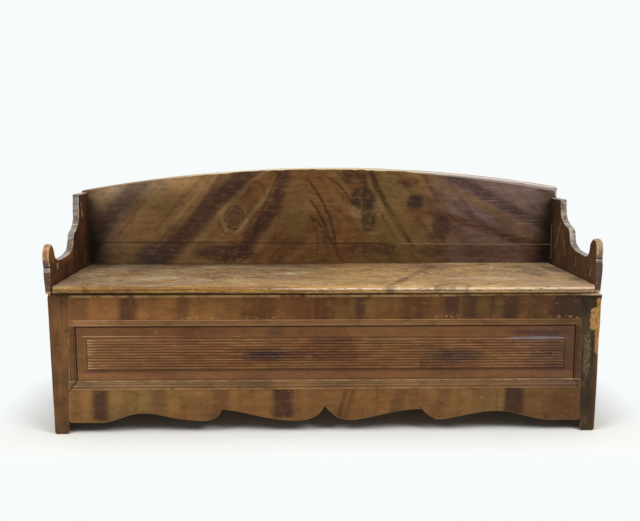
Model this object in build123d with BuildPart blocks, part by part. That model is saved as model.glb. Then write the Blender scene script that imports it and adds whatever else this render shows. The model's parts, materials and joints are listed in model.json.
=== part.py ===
from build123d import *
import math
import os

# Settle bench: boarded ends and back, a lift-up seat over a bedding box, and a
# framed front that pulls out on its own slats to make a bed.
# Millimetres. X runs along the seat, Y from front to back, Z up from the floor.
# The origin is on the floor, at the middle of the overall width and depth.

# --- whole bench ---------------------------------------------------------------
overall_width = 1800.0      # over the end boards
overall_depth = 558.0       # lid nose to the rear face of the back
seat_height = 494.0         # floor to the top of the lid

# --- end boards ----------------------------------------------------------------
end_thickness = 22.0
arm_foot_gap = 3.0          # arm above the bed front's top edge
bead_depth = 3.0            # quirks each side of the bead on the arm's front edge
bead_proud = 0.5            # bead in front of the arm's face
end_foot_length = 70.0      # front and rear foot of an end board
end_foot_rise = 42.0        # height of the arch between its feet
end_shoulder = 4.0          # outer face set back below the arm,
end_shoulder_height = 12.0  # eased in over this height,
end_taper = 8.5             # and planed away to this much at the floor

# Knob and dip: (distance behind the front face, height above the seat).
left_bead = (41.0, 57.0)
left_knob = [(-6, 78), (-7, 102), (6, 122), (25, 131), (44, 123), (58, 107), (66, 88), (80, 76)]
left_dip = [(110, 70), (160, 69), (215, 72)]
right_bead = (71.0, 82.0)
right_knob = [(0, 100), (2, 120), (12, 138), (34, 145), (58, 138), (70, 124), (76, 102)]
right_dip = [(92, 83), (130, 80), (175, 82), (225, 88)]
# Wing: (distance in front of the back, height above the seat), from its foot up.
left_riser = [(246, 83), (232, 100), (213, 138)]
left_cove = [(175, 150), (152, 166), (137, 187)]
left_wing_top = (130, 269)
right_riser = [(262, 98), (242, 118), (236, 138), (222, 153)]
right_cove = [(178, 164), (146, 180), (129, 199)]
right_wing_top = (120, 249)

# --- back ----------------------------------------------------------------------
back_thickness = 22.0
back_rise_left = 276.0      # top of the back above the seat, at its left end
back_rise_middle = 361.0
back_rise_right = 290.0
back_edge_round = 7.0       # worn front corner of the arched top
back_joint_left = 81.0      # joint of the two upper boards, above the seat
back_joint_right = 70.0
back_lower_joint = 285.0    # joint of the two lower boards, above the floor
back_foot_gap = 55.0        # floor to the lowest board
board_gap = 0.8             # shrinkage gap between two back boards

# --- lid -----------------------------------------------------------------------
lid_thickness = 26.0
lid_overhang = 18.0         # nose of the lid in front of the bed front
lid_gap_left = 6.0          # lid to end board
lid_gap_right = 3.0
lid_gap_rear = 2.5          # lid to back
lid_rear_width = 236.0      # rear one of the two boards of the lid
lid_nose_round = 9.0
lid_quirk = 1.4             # step under the rounded nose
lid_arris = 4.0             # bevel along the lower front edge
lid_corner_round = 8.0      # corners of the nose, seen from above
lid_tail_round = 6.0        # rear top corner, which turns past the back
batten_width = 60.0
batten_thickness = 22.0
batten_bevel = 3.0
batten_end_margin = 295.0   # middle of an outer batten to the end of the lid
batten_inset = 48.0         # batten end behind the bed front's face
cleat_thickness = 22.0      # ledges on the end boards that carry the lid
cleat_height = 26.0
cleat_inset = 34.0          # cleat end behind the bed front's face
rest_gap = 0.3              # lid above its ledges

# --- lid pivot -----------------------------------------------------------------
pin_radius = 7.0
pin_depth = 45.0            # pin inside the lid
pin_play = 0.08             # running clearance in the lid, on the radius
pin_end_play = 2.0
pin_bevel = 1.5
pivot_inset = 35.0          # pivot in front of the back
cleat_swing_gap = 24.0      # cleat end in front of the pivot, clear of the lid's tail

# --- bed front -----------------------------------------------------------------
front_thickness = 24.0
front_inset = 3.0           # outer edge of a stile inside the end board's face
front_shift = 6.0           # the pull-out front sits a little to the right
front_play = 0.6            # bed front to end boards when pushed in
lid_gap_under = 4.6         # top rail to lid
stile_width_left = 67.5     # at the top
stile_width_right = 69.0
stile_taper = 6.0           # outer edge of a stile leans in towards the floor
stile_lean = 16.0           # inner edge leans out towards the floor
foot_round = 7.0            # corners of a stile's foot and its outer top corner
top_rail_round = 3.0        # worn front edge of the top rail
apron_height = 38.0         # floor to the straight ends of the apron
apron_nick = 6.0            # worn corner of the apron beside each foot
opening_bottom = 148.0      # framed opening, above the floor
opening_drop = 82.4         # framed opening, below the top of the front
tenon_thickness = 8.0
tenon_length = 40.0
tenon_shoulder = 12.0       # tenon narrower than its rail at each edge
joint_play = 0.1
groove_depth = 9.0
panel_recess = 11.0         # face of the panel behind the face of the frame
panel_thickness = 8.0
panel_tongue = 8.0          # panel edge inside its groove
head_width = 22.0           # mouldings round the panel: top strip,
sill_width = 30.0           # bottom strip,
side_width_left = 16.5      # and side strips at their upper ends; their inner edges
side_width_right = 13.0     # stand upright, so they widen towards the floor
field_bevel = 9.0           # bevelled border of the raised field
field_raise = 3.5
field_side_margin = 30.0    # mouldings to the raised field
field_top_margin = 33.0
field_bottom_margin = 28.0
reed_pitch = 9.3            # nearest width that fills the field evenly
reed_height = 2.8
peg_radius = 4.0

# Section of the mouldings: (share of the width, from the frame inwards; height above the
# frame's face).
moulding_fillet = [(0, 1.5), (0.14, 1.5), (0.20, -0.8)]
moulding_ovolo = [(0.20, -0.8), (0.38, -1.2), (0.50, -4.2)]
moulding_cove = [(0.50, -4.2), (0.64, -6.6), (0.82, -7.0)]
moulding_bead = [(0.82, -7.0), (0.86, -6.2), (0.96, -6.2), (1, -7.6)]

# Lower edge of the apron, laid out along the rail: (percent of the way from the middle
# to the stile, percent of the middle point's rise above the straight ends). A lobe runs
# from the middle point to a cusp, and an arch from the cusp to the straight end.
apron_tip_rise = 57.0
left_lobe = [(1, 68), (2.4, 44), (5, 21), (8.7, 7), (12.8, 5), (18.7, 12), (29, 44), (40.6, 74)]
left_arch = [
    (41, 53), (43, 23), (45.8, 9), (52.5, 11), (58.7, 23), (65, 44), (72, 54), (77, 40), (82, 14),
    (88, 0),
]
right_lobe = [
    (0.9, 74), (2.4, 53), (4.5, 26), (7.3, 11), (10.6, 7), (14.7, 14), (22.4, 39), (30.6, 63), (38, 70),
]
right_arch = [
    (39, 49), (40.7, 30), (43.2, 9), (47.8, 12), (54, 30), (60, 47), (67.5, 56), (73.5, 44), (79, 23),
    (87.5, 0),
]

# --- slats ---------------------------------------------------------------------
slat_count = 15             # fixed and sliding slats by turns, ends fixed
slat_gap = 10.0
slat_thickness = 22.0
bearer_top = 150.0
bearer_height = 40.0
bearer_width = 28.0
bearer_housing = 8.0        # bearer ends let into the end boards
front_bearer_inset = 50.0   # fixed front bearer behind the bed front's face
sliding_bearer_width = 22.0
sliding_bearer_gap = 6.0    # its ends to the end boards
slide_play = 0.6            # sliding slats above the fixed bearers
slat_end_gap = 4.0          # slat ends to the back
stop_length = 30.0          # stop blocks under the sliding slats
stop_height = 26.0
stop_margin = 8.0           # block narrower than its slat at each side
stop_gap = 3.0              # blocks to the rear bearer when the bed is closed

# --- nails ---------------------------------------------------------------------
nail_radius = 1.8
nail_head_radius = 4.0
nail_head_thickness = 1.2
nail_play = 0.05
nail_bite = 20.0            # nail inside a bearer, and half its length inside an end board
nail_share = 0.7            # share of a thinner second piece that a nail goes into
nail_margin = 28.0          # outermost nails to the ends of a row

# --- places worked out from the sizes --------------------------------------------
front_y = -overall_depth / 2 + lid_overhang     # face of the bed front and arms
rear_y = overall_depth / 2
back_y = rear_y - back_thickness                # front face of the back
end_x = overall_width / 2
inner_x = end_x - end_thickness
lid_under = seat_height - lid_thickness
front_top = lid_under - lid_gap_under
frame_back_y = front_y + front_thickness        # rear face of the bed front's frame
end_front_y = frame_back_y + front_play         # end boards behind the bed front
pivot_y = back_y - pivot_inset
pivot_z = lid_under + lid_thickness / 2
opening_top = front_top - opening_drop
panel_y = front_y + panel_recess
bearer_mid_z = bearer_top - bearer_height / 2
front_bearer_y = front_y + front_bearer_inset
rear_bearer_y = back_y - bearer_width
slide_z = bearer_top + slide_play
slat_width = (2 * inner_x - (slat_count + 1) * slat_gap) / slat_count
sliding_bearer_back_y = frame_back_y + sliding_bearer_width
fixed = range(0, slat_count, 2)                 # slats nailed to the carcass
sliding = range(1, slat_count, 2)               # slats that come out with the bed front
stopped = (sliding[0], sliding[len(sliding) // 2], sliding[-1])
stop_back_y = rear_bearer_y - stop_gap
front_travel = stop_back_y - stop_length - front_bearer_y - bearer_width

BOTTOM = (Align.CENTER, Align.CENTER, Align.MIN)
LOW = (Align.MIN, Align.MIN, Align.MIN)


def save(builder, name):
    """Label a finished piece and write it as its own STEP file."""
    builder.part.label = name
    export_step(builder.part, f"parts/{name}.step")


def block(low, high, mode=Mode.ADD):
    """Box between two corners, in the part that is being built."""
    size = [b - a for a, b in zip(low, high)]
    with Locations(low):
        Box(*size, align=LOW, mode=mode)


def nail(points, direction, length, play=0.0, mode=Mode.ADD):
    """Flush-headed nails from the points along a direction; with play, their holes."""
    with Locations(*[Plane(origin=point, z_dir=direction) for point in points]):
        Cylinder(nail_radius + play, length + play, align=BOTTOM, mode=mode)
        Cylinder(nail_head_radius + play, nail_head_thickness + play, align=BOTTOM, mode=mode)


def nail_holes(points, direction, length):
    nail(points, direction, length, nail_play, Mode.SUBTRACT)


def slat_x(index):
    """Middle of a slat, counted from the left."""
    return -inner_x + slat_gap + slat_width / 2 + index * (slat_width + slat_gap)


def stile_x(side, z):
    """Inner edge of a stile at a height; it leans out towards the floor."""
    width = stile_width_right if side > 0 else stile_width_left
    lean = stile_lean * (front_top - z) / front_top
    return front_shift + side * (end_x - front_inset - width + lean)


# --- nail places -----------------------------------------------------------------
def spread(low, high, count, margin):
    """Even places between two ends, each end one margin in."""
    step = (high - low - 2 * margin) / (count - 1)
    return [low + margin + i * step for i in range(count)]


cleat_end_y = pivot_y - cleat_swing_gap
cleat_nail_length = cleat_thickness + end_thickness * nail_share
back_nail_length = back_thickness + nail_bite * 2
batten_nail_length = batten_thickness + lid_thickness * nail_share
slat_nail_length = slat_thickness + nail_bite
bearer_nail_length = sliding_bearer_width + front_thickness * nail_share


def cleat_nails_at(side):
    ys = spread(front_y + cleat_inset, cleat_end_y, 4, nail_margin)
    return [(side * (inner_x - cleat_thickness), y, lid_under - cleat_height / 2) for y in ys]


def back_nails_at(side, low, high):
    zs = spread(low, high, 3, nail_margin)
    return [(side * (end_x - end_thickness / 2), rear_y, z) for z in zs]


def batten_nails_at(x):
    """Nails through a batten: two in each of the lid's boards, staggered."""
    ys = spread(front_y + batten_inset, pivot_y - batten_inset, 4, nail_margin)
    return [(x + batten_width / 4 * (-1) ** i, y, lid_under - batten_thickness) for i, y in enumerate(ys)]


def slat_nails_at(index, top, ys):
    x = slat_x(index)
    return [(x + side * slat_width / 4, y, top) for y in ys for side in (-1, 1)]


def sliding_slat_nails_at(index):
    """Nails of a sliding slat: into its bearer, and into a stop block if it has one."""
    ys = [frame_back_y + sliding_bearer_width / 2]
    if index in stopped:
        ys.append(stop_back_y - stop_length / 2)
    return slat_nails_at(index, slide_z + slat_thickness, ys)


def bearer_nails_at():
    """Nails through the sliding bearer into the bed front's frame."""
    xs = spread(stile_x(-1, bearer_mid_z), stile_x(1, bearer_mid_z), 8, nail_margin)
    return [(x, sliding_bearer_back_y, bearer_mid_z) for x in xs]


# --- end boards --------------------------------------------------------------------
def end_board(side, bead, knob, dip, riser, cove, wing_top):
    """End board with its arm and wing cut in one outline; side is -1 left, 1 right."""
    outer = side * end_x

    def from_front(point):
        return (front_y + point[0], seat_height + point[1])

    def from_back(point):
        return (back_y - point[0], seat_height + point[1])

    bead_low = seat_height + bead[0]
    bead_high = seat_height + bead[1]
    bead_in = front_y + bead_depth
    arm_foot = front_top + arm_foot_gap
    with BuildPart() as board:
        with BuildSketch(Plane.YZ.offset(outer)):
            with BuildLine():
                Polyline(
                    (end_front_y + end_foot_length, 0),
                    (end_front_y, 0),
                    (end_front_y, arm_foot),
                    (front_y, arm_foot),
                    (front_y, bead_low - bead_depth),
                    (bead_in, bead_low),
                )
                ThreePointArc(
                    (bead_in, bead_low),
                    (front_y - bead_proud, (bead_low + bead_high) / 2),
                    (bead_in, bead_high),
                )
                arm = [from_front(point) for point in knob + dip] + [from_back(riser[0])]
                Spline((bead_in, bead_high), *arm)
                Spline(*[from_back(point) for point in riser])
                Spline(*[from_back(point) for point in riser[-1:] + cove])
                Polyline(
                    from_back(cove[-1]),
                    from_back(wing_top),
                    (back_y, seat_height + wing_top[1]),
                    (back_y, 0),
                    (back_y - end_foot_length, 0),
                )
                ThreePointArc(
                    (back_y - end_foot_length, 0),
                    ((end_front_y + back_y) / 2, end_foot_rise),
                    (end_front_y + end_foot_length, 0),
                )
            make_face()
        extrude(amount=-side * end_thickness)
        with BuildSketch(Plane.XZ.offset(-back_y)):
            Polygon(
                (outer, front_top + end_shoulder_height),
                (outer - side * end_shoulder, front_top),
                (outer - side * end_taper, 0),
                (outer, 0),
                align=None,
            )
        extrude(amount=back_y - end_front_y, mode=Mode.SUBTRACT)
        with Locations(Plane(origin=(outer, pivot_y, pivot_z), z_dir=(-side, 0, 0))):
            Cylinder(pin_radius + nail_play, end_thickness, align=BOTTOM, mode=Mode.SUBTRACT)
        housing_x = sorted((side * inner_x, side * (inner_x + bearer_housing + joint_play)))
        for y in (front_bearer_y, rear_bearer_y):
            low = (housing_x[0], y - joint_play, bearer_top - bearer_height - joint_play)
            high = (housing_x[1], y + bearer_width + joint_play, bearer_top + joint_play)
            block(low, high, Mode.SUBTRACT)
        nail_holes(cleat_nails_at(side), (side, 0, 0), cleat_nail_length)
        for low, high in back_spans(side):
            nail_holes(back_nails_at(side, low, high), (0, -1, 0), back_nail_length)
    return board


# --- back --------------------------------------------------------------------------
def back_end_rise(side):
    """Height of the back's arched top at one end."""
    return seat_height + (back_rise_left if side < 0 else back_rise_right)


def back_joint_z(side):
    """Height of the upper joint at one end; it runs slightly down to the right."""
    return seat_height + (back_joint_left if side < 0 else back_joint_right)


def back_spans(side):
    """Heights between which each back board is nailed at one end, up to the wing's top."""
    wing_top = left_wing_top if side < 0 else right_wing_top
    return [
        (back_foot_gap, back_lower_joint),
        (back_lower_joint, back_joint_z(side)),
        (back_joint_z(side), min(back_end_rise(side), seat_height + wing_top[1])),
    ]


def back_board(lower_left, lower_right, upper_left, upper_right, span):
    """Straight-edged back board, with nail holes at both ends."""
    with BuildPart() as board:
        with BuildSketch(Plane.XZ.offset(-rear_y)):
            with BuildLine():
                Polyline(
                    (-end_x, lower_left),
                    (end_x, lower_right),
                    (end_x, upper_right),
                    (-end_x, upper_left),
                    close=True,
                )
            make_face()
        extrude(amount=back_thickness)
        for side in (-1, 1):
            points = back_nails_at(side, *back_spans(side)[span])
            nail_holes(points, (0, -1, 0), back_nail_length)
    return board


def back_top_board():
    """Upper back board with its arched and worn top edge."""
    left_low = back_joint_z(-1) + board_gap
    right_low = back_joint_z(1) + board_gap
    with BuildPart() as board:
        with BuildSketch(Plane.XZ.offset(-rear_y)):
            with BuildLine():
                Polyline(
                    (-end_x, back_end_rise(-1)),
                    (-end_x, left_low),
                    (end_x, right_low),
                    (end_x, back_end_rise(1)),
                )
                ThreePointArc(
                    (end_x, back_end_rise(1)),
                    (0, seat_height + back_rise_middle),
                    (-end_x, back_end_rise(-1)),
                )
            make_face()
        extrude(amount=back_thickness)
        top_edges = board.edges().filter_by(GeomType.CIRCLE).sort_by(Axis.Y)
        fillet(top_edges[0], radius=back_edge_round)
        for side in (-1, 1):
            points = back_nails_at(side, *back_spans(side)[2])
            nail_holes(points, (0, -1, 0), back_nail_length)
    return board


# --- lid ---------------------------------------------------------------------------
lid_left_x = -inner_x + lid_gap_left
lid_right_x = inner_x - lid_gap_right
lid_nose_y = front_y - lid_overhang
lid_tail_y = back_y - lid_gap_rear
lid_joint_y = lid_tail_y - lid_rear_width
batten_places = spread(lid_left_x, lid_right_x, 3, batten_end_margin)


def lid_board_front():
    """Front board of the lid: rounded nose, a quirk under it, eased corners."""
    quirk_z = seat_height - lid_nose_round - lid_quirk
    with BuildPart() as board:
        with BuildSketch(Plane.YZ.offset(lid_left_x)):
            with BuildLine():
                nose = ThreePointArc(
                    (lid_nose_y + lid_nose_round, seat_height),
                    (
                        lid_nose_y + lid_nose_round * (1 - math.sqrt(0.5)),
                        seat_height - lid_nose_round * (1 - math.sqrt(0.5)),
                    ),
                    (lid_nose_y, seat_height - lid_nose_round),
                )
                Polyline(
                    nose @ 1,
                    (lid_nose_y, quirk_z + lid_quirk / 2),
                    (lid_nose_y + lid_quirk, quirk_z),
                    (lid_nose_y + lid_quirk / 2, quirk_z - lid_quirk),
                    (lid_nose_y + lid_quirk / 2, lid_under + lid_arris),
                    (lid_nose_y + lid_quirk / 2 + lid_arris, lid_under),
                    (lid_joint_y, lid_under),
                    (lid_joint_y, seat_height),
                    nose @ 0,
                )
            make_face()
        extrude(amount=lid_right_x - lid_left_x)
        with BuildSketch(Plane.XY.offset(lid_under)):
            width = lid_right_x - lid_left_x
            depth = lid_joint_y - lid_nose_y + lid_corner_round
            with Locations(((lid_left_x + lid_right_x) / 2, lid_nose_y + depth / 2)):
                RectangleRounded(width, depth, lid_corner_round)
        extrude(amount=lid_thickness, mode=Mode.INTERSECT)
        for x in batten_places:
            nail_holes(batten_nails_at(x), (0, 0, 1), batten_nail_length)
    return board


def lid_board_rear():
    """Rear board of the lid, bored at both ends for the pivot pins."""
    with BuildPart() as board:
        block((lid_left_x, lid_joint_y, lid_under), (lid_right_x, lid_tail_y, seat_height))
        tail = board.edges().filter_by(Axis.X).group_by(Axis.Z)[-1].sort_by(Axis.Y)[-1]
        fillet(tail, radius=lid_tail_round)
        for side, x in ((-1, lid_left_x), (1, lid_right_x)):
            with Locations(Plane(origin=(x, pivot_y, pivot_z), z_dir=(-side, 0, 0))):
                depth = pin_depth + pin_end_play
                Cylinder(pin_radius + pin_play, depth, align=BOTTOM, mode=Mode.SUBTRACT)
        for x in batten_places:
            nail_holes(batten_nails_at(x), (0, 0, 1), batten_nail_length)
    return board


def lid_batten(x):
    """Batten across the underside of the lid, with bevelled lower edges."""
    with BuildPart() as batten:
        low = (x - batten_width / 2, front_y + batten_inset, lid_under - batten_thickness)
        high = (x + batten_width / 2, pivot_y - batten_inset, lid_under)
        block(low, high)
        chamfer(batten.faces().sort_by(Axis.Z)[0].edges(), length=batten_bevel)
        nail_holes(batten_nails_at(x), (0, 0, 1), batten_nail_length)
    return batten


def lid_cleat(side):
    """Ledge nailed to an end board; the lid rests on it."""
    with BuildPart() as cleat:
        xs = sorted((side * inner_x, side * (inner_x - cleat_thickness)))
        top = lid_under - rest_gap
        block((xs[0], front_y + cleat_inset, lid_under - cleat_height), (xs[1], cleat_end_y, top))
        nail_holes(cleat_nails_at(side), (side, 0, 0), cleat_nail_length)
    return cleat


def pivot_pin(side, lid_edge):
    """Wooden pin through an end board into the end of the lid."""
    with BuildPart() as pin:
        length = end_x - side * lid_edge + pin_depth
        with Locations(Plane(origin=(side * end_x, pivot_y, pivot_z), z_dir=(-side, 0, 0))):
            Cylinder(pin_radius, length, align=BOTTOM)
        chamfer(pin.edges().sort_by(Axis.X)[0 if side > 0 else -1], length=pin_bevel)
    return pin


# --- slats and bearers ---------------------------------------------------------------
def fixed_bearer(y):
    """Rail let into both end boards; it carries the slats."""
    reach = inner_x + bearer_housing
    with BuildPart() as bearer:
        block((-reach, y, bearer_top - bearer_height), (reach, y + bearer_width, bearer_top))
        for index in fixed:
            points = slat_nails_at(index, bearer_top + slat_thickness, [y + bearer_width / 2])
            nail_holes(points, (0, 0, -1), slat_nail_length)
    return bearer


def fixed_slat(index):
    """Slat nailed down on both fixed bearers."""
    x = slat_x(index)
    top = bearer_top + slat_thickness
    ys = [front_bearer_y + bearer_width / 2, rear_bearer_y + bearer_width / 2]
    with BuildPart() as slat:
        low = (x - slat_width / 2, front_bearer_y, bearer_top)
        high = (x + slat_width / 2, back_y - slat_end_gap, top)
        block(low, high)
        nail_holes(slat_nails_at(index, top, ys), (0, 0, -1), slat_nail_length)
    return slat


def sliding_slat(index):
    """Slat nailed to the bed front's bearer; it slides over the fixed bearers."""
    x = slat_x(index)
    top = slide_z + slat_thickness
    with BuildPart() as slat:
        low = (x - slat_width / 2, frame_back_y, slide_z)
        high = (x + slat_width / 2, back_y - slat_end_gap, top)
        block(low, high)
        nail_holes(sliding_slat_nails_at(index), (0, 0, -1), slat_nail_length)
    return slat


def stop_block(index):
    """Block under the rear end of a sliding slat; it stops the bed at full reach."""
    x = slat_x(index)
    reach = slat_width / 2 - stop_margin
    with BuildPart() as stop:
        block((x - reach, stop_back_y - stop_length, slide_z - stop_height),
              (x + reach, stop_back_y, slide_z))
        nail_holes(sliding_slat_nails_at(index), (0, 0, -1), slat_nail_length)
    return stop


def sliding_bearer():
    """Rail nailed behind the bed front; it carries the sliding slats."""
    reach = inner_x - sliding_bearer_gap
    with BuildPart() as bearer:
        block((-reach, frame_back_y, slide_z - bearer_height), (reach, sliding_bearer_back_y, slide_z))
        for index in sliding:
            nail_holes(sliding_slat_nails_at(index), (0, 0, -1), slat_nail_length)
        nail_holes(bearer_nails_at(), (0, -1, 0), bearer_nail_length)
    return bearer


# --- bed front -----------------------------------------------------------------------
tenon_y = front_y + panel_recess    # front cheek of the tenons, in line with the panel
top_rail_tenon = (opening_top + tenon_shoulder, front_top - tenon_shoulder)
apron_tenon = (apron_height + tenon_shoulder, opening_bottom - tenon_shoulder)


def between_stiles(low, high, margin=0.0):
    """Corners of the shape between the stiles' inner edges, widened by a margin."""
    return [
        (stile_x(-1, low) - margin, low),
        (stile_x(1, low) + margin, low),
        (stile_x(1, high) + margin, high),
        (stile_x(-1, high) - margin, high),
    ]


def pegs(side, tenon, play=0.0, mode=Mode.ADD):
    """Two draw pins through a stile and a rail's tenon."""
    quarter = (tenon[1] - tenon[0]) / 4
    for z in (tenon[0] + quarter, tenon[1] - quarter):
        x = stile_x(side, z) + side * tenon_length / 2
        with Locations(Plane(origin=(x, front_y, z), z_dir=(0, 1, 0))):
            Cylinder(peg_radius + play, front_thickness, align=BOTTOM, mode=mode)


def tenon_block(side, tenon, play=0.0, mode=Mode.ADD):
    """Tenon at one end of a rail; with play, its mortise."""
    root = stile_x(side, tenon[1]) - side * tenon_length / 2
    xs = sorted((root, stile_x(side, tenon[0]) + side * (tenon_length + play)))
    low = (xs[0], tenon_y - play, tenon[0] - play)
    high = (xs[1], tenon_y + tenon_thickness + play, tenon[1] + play)
    block(low, high, mode)


def stile(side):
    """Stile of the bed front: leaning edges, foot, mortises and panel groove."""
    outer = front_shift + side * (end_x - front_inset)
    with BuildPart() as post:
        with BuildSketch(Plane.XZ.offset(-frame_back_y)) as outline:
            Polygon(
                (stile_x(side, front_top), front_top),
                (outer, front_top),
                (outer - side * stile_taper, 0),
                (stile_x(side, 0), 0),
                align=None,
            )
            outer_top = outline.vertices().group_by(Axis.Y)[-1].sort_by(Axis.X)[0 if side < 0 else -1]
            fillet(outline.vertices().group_by(Axis.Y)[0] + outer_top, radius=foot_round)
        extrude(amount=front_thickness)
        for tenon in (top_rail_tenon, apron_tenon):
            tenon_block(side, tenon, joint_play, Mode.SUBTRACT)
            pegs(side, tenon, nail_play, Mode.SUBTRACT)
        with BuildSketch(Plane.XZ.offset(-panel_y - panel_thickness - joint_play)):
            Polygon(*between_stiles(apron_tenon[1], top_rail_tenon[0], groove_depth), align=None)
        extrude(amount=panel_thickness + 2 * joint_play, mode=Mode.SUBTRACT)
    return post


def top_rail():
    """Top rail of the bed front."""
    with BuildPart() as rail:
        with BuildSketch(Plane.XZ.offset(-frame_back_y)):
            Polygon(*between_stiles(opening_top, front_top), align=None)
        extrude(amount=front_thickness)
        top_edge = rail.edges().filter_by(Axis.X).group_by(Axis.Z)[-1].sort_by(Axis.Y)[0]
        fillet(top_edge, radius=top_rail_round)
        for side in (-1, 1):
            tenon_block(side, top_rail_tenon)
            pegs(side, top_rail_tenon, nail_play, Mode.SUBTRACT)
        groove = between_stiles(opening_top, opening_top + groove_depth, tenon_length)
        with BuildSketch(Plane.XZ.offset(-panel_y - panel_thickness - joint_play)):
            Polygon(*groove, align=None)
        extrude(amount=panel_thickness + 2 * joint_play, mode=Mode.SUBTRACT)
    return rail


def apron_rail():
    """Bottom rail of the bed front, its lower edge cut in scallops."""

    def edge(side, points):
        """Places on the rail for points of the layout."""
        reach = abs(stile_x(side, apron_height)) / 100
        unit = apron_tip_rise / 100
        return [(side * share * reach, apron_height + rise * unit) for share, rise in points]

    tip = (0, apron_height + apron_tip_rise)
    nick_top = apron_height + apron_nick
    with BuildPart() as rail:
        with BuildSketch(Plane.XZ.offset(-frame_back_y)):
            with BuildLine():
                for side, lobe, arch in ((-1, left_lobe, left_arch), (1, right_lobe, right_arch)):
                    Spline(tip, *edge(side, lobe))
                    Spline(*edge(side, lobe[-1:] + arch))
                    flat = edge(side, arch[-1:])[0]
                    Polyline(
                        flat,
                        (stile_x(side, apron_height) - side * apron_nick, apron_height),
                        (stile_x(side, nick_top), nick_top),
                        (stile_x(side, opening_bottom), opening_bottom),
                    )
                Line((stile_x(-1, opening_bottom), opening_bottom),
                     (stile_x(1, opening_bottom), opening_bottom))
            make_face()
        extrude(amount=front_thickness)
        for side in (-1, 1):
            tenon_block(side, apron_tenon)
            pegs(side, apron_tenon, nail_play, Mode.SUBTRACT)
        groove = between_stiles(opening_bottom - groove_depth, opening_bottom, tenon_length)
        with BuildSketch(Plane.XZ.offset(-panel_y - panel_thickness - joint_play)):
            Polygon(*groove, align=None)
        extrude(amount=panel_thickness + 2 * joint_play, mode=Mode.SUBTRACT)
        nail_holes(bearer_nails_at(), (0, -1, 0), bearer_nail_length)
    return rail


# Corners of the framed opening, and of the panel seen inside its mouldings.
opening_corners = between_stiles(opening_bottom, opening_top)
sight_left = stile_x(-1, opening_top) + side_width_left
sight_right = stile_x(1, opening_top) - side_width_right
sight_corners = [
    (sight_left, opening_bottom + sill_width),
    (sight_right, opening_bottom + sill_width),
    (sight_right, opening_top - head_width),
    (sight_left, opening_top - head_width),
]


def reeded_panel():
    """Panel in the frame's grooves, with a raised and reeded field."""
    field_left = sight_left + field_side_margin
    field_right = sight_right - field_side_margin
    field_top = opening_top - head_width - field_top_margin
    field_bottom = opening_bottom + sill_width + field_bottom_margin
    middle = ((field_left + field_right) / 2, (field_top + field_bottom) / 2)
    width = field_right - field_left
    height = field_top - field_bottom
    reed_count = max(1, round((height - 2 * field_bevel) / reed_pitch))
    pitch = (height - 2 * field_bevel) / reed_count
    crest_y = panel_y - field_raise
    low = opening_bottom - panel_tongue
    high = opening_top + panel_tongue
    with BuildPart() as panel:
        with BuildSketch(Plane.XZ.offset(-panel_y - panel_thickness)):
            Polygon(*between_stiles(low, high, panel_tongue), align=None)
        extrude(amount=panel_thickness)
        with BuildSketch(Plane.XZ.offset(-panel_y)):
            with Locations(middle):
                Rectangle(width, height)
        with BuildSketch(Plane.XZ.offset(-crest_y)):
            with Locations(middle):
                Rectangle(width - 2 * field_bevel, height - 2 * field_bevel)
        loft()
        with BuildSketch(Plane.YZ.offset(field_left + field_bevel)):
            with BuildLine():
                bottom = field_bottom + field_bevel
                for i in range(reed_count):
                    z = bottom + i * pitch
                    ThreePointArc((crest_y, z), (crest_y - reed_height, z + pitch / 2),
                                  (crest_y, z + pitch))
                Polyline(
                    (crest_y, bottom),
                    (panel_y, bottom),
                    (panel_y, bottom + reed_count * pitch),
                    (crest_y, bottom + reed_count * pitch),
                )
            make_face()
        extrude(amount=width - 2 * field_bevel)
    return panel


def across(points, width):
    """Points of the moulding's section at a width."""
    return [(share * width, height) for share, height in points]


def moulding(index):
    """Strip beside the panel: fillet, ovolo, cove and bead, mitred at both ends.

    The strips are numbered bottom, right, top, left.
    """
    ends = (index, (index + 1) % 4)
    inward = [(0, 0, 1), (-1, 0, 0), (0, 0, -1), (1, 0, 0)][index]
    with BuildPart() as strip:
        for corner in ends:
            outer = opening_corners[corner]
            sight = sight_corners[corner]
            width = (sight[0] - outer[0]) * inward[0] + (sight[1] - outer[1]) * inward[2]
            section = Plane(
                origin=(outer[0], front_y, outer[1]), x_dir=inward, z_dir=(inward[2], 0, -inward[0])
            )
            with BuildSketch(section):
                with BuildLine():
                    Polyline((0, -panel_recess), *across(moulding_fillet, width))
                    ThreePointArc(*across(moulding_ovolo, width))
                    ThreePointArc(*across(moulding_cove, width))
                    Polyline(*across(moulding_bead, width), (width, -panel_recess), (0, -panel_recess))
                make_face()
        loft(ruled=True)
        outline = [opening_corners[corner] for corner in ends]
        outline += [sight_corners[corner] for corner in reversed(ends)]
        with BuildSketch(Plane.XZ.offset(-panel_y)):
            Polygon(*outline, align=None)
        extrude(amount=2 * panel_recess, mode=Mode.INTERSECT)
    return strip


# --- build and write every piece -------------------------------------------------------
os.makedirs("parts", exist_ok=True)

save(end_board(-1, left_bead, left_knob, left_dip, left_riser, left_cove, left_wing_top),
     "end_board_left")
save(end_board(1, right_bead, right_knob, right_dip, right_riser, right_cove, right_wing_top),
     "end_board_right")
save(back_board(back_foot_gap, back_foot_gap, back_lower_joint, back_lower_joint, 0),
     "back_lower_board")
lower_edge = back_lower_joint + board_gap
save(back_board(lower_edge, lower_edge, back_joint_z(-1), back_joint_z(1), 1), "back_middle_board")
save(back_top_board(), "back_upper_board")

with BuildPart() as back_nails:
    for side in (-1, 1):
        for low, high in back_spans(side):
            nail(back_nails_at(side, low, high), (0, -1, 0), back_nail_length)
save(back_nails, "back_nails")

for side, name, lid_edge in ((-1, "left", lid_left_x), (1, "right", lid_right_x)):
    save(lid_cleat(side), f"lid_cleat_{name}")
    save(pivot_pin(side, lid_edge), f"pivot_pin_{name}")

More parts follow.
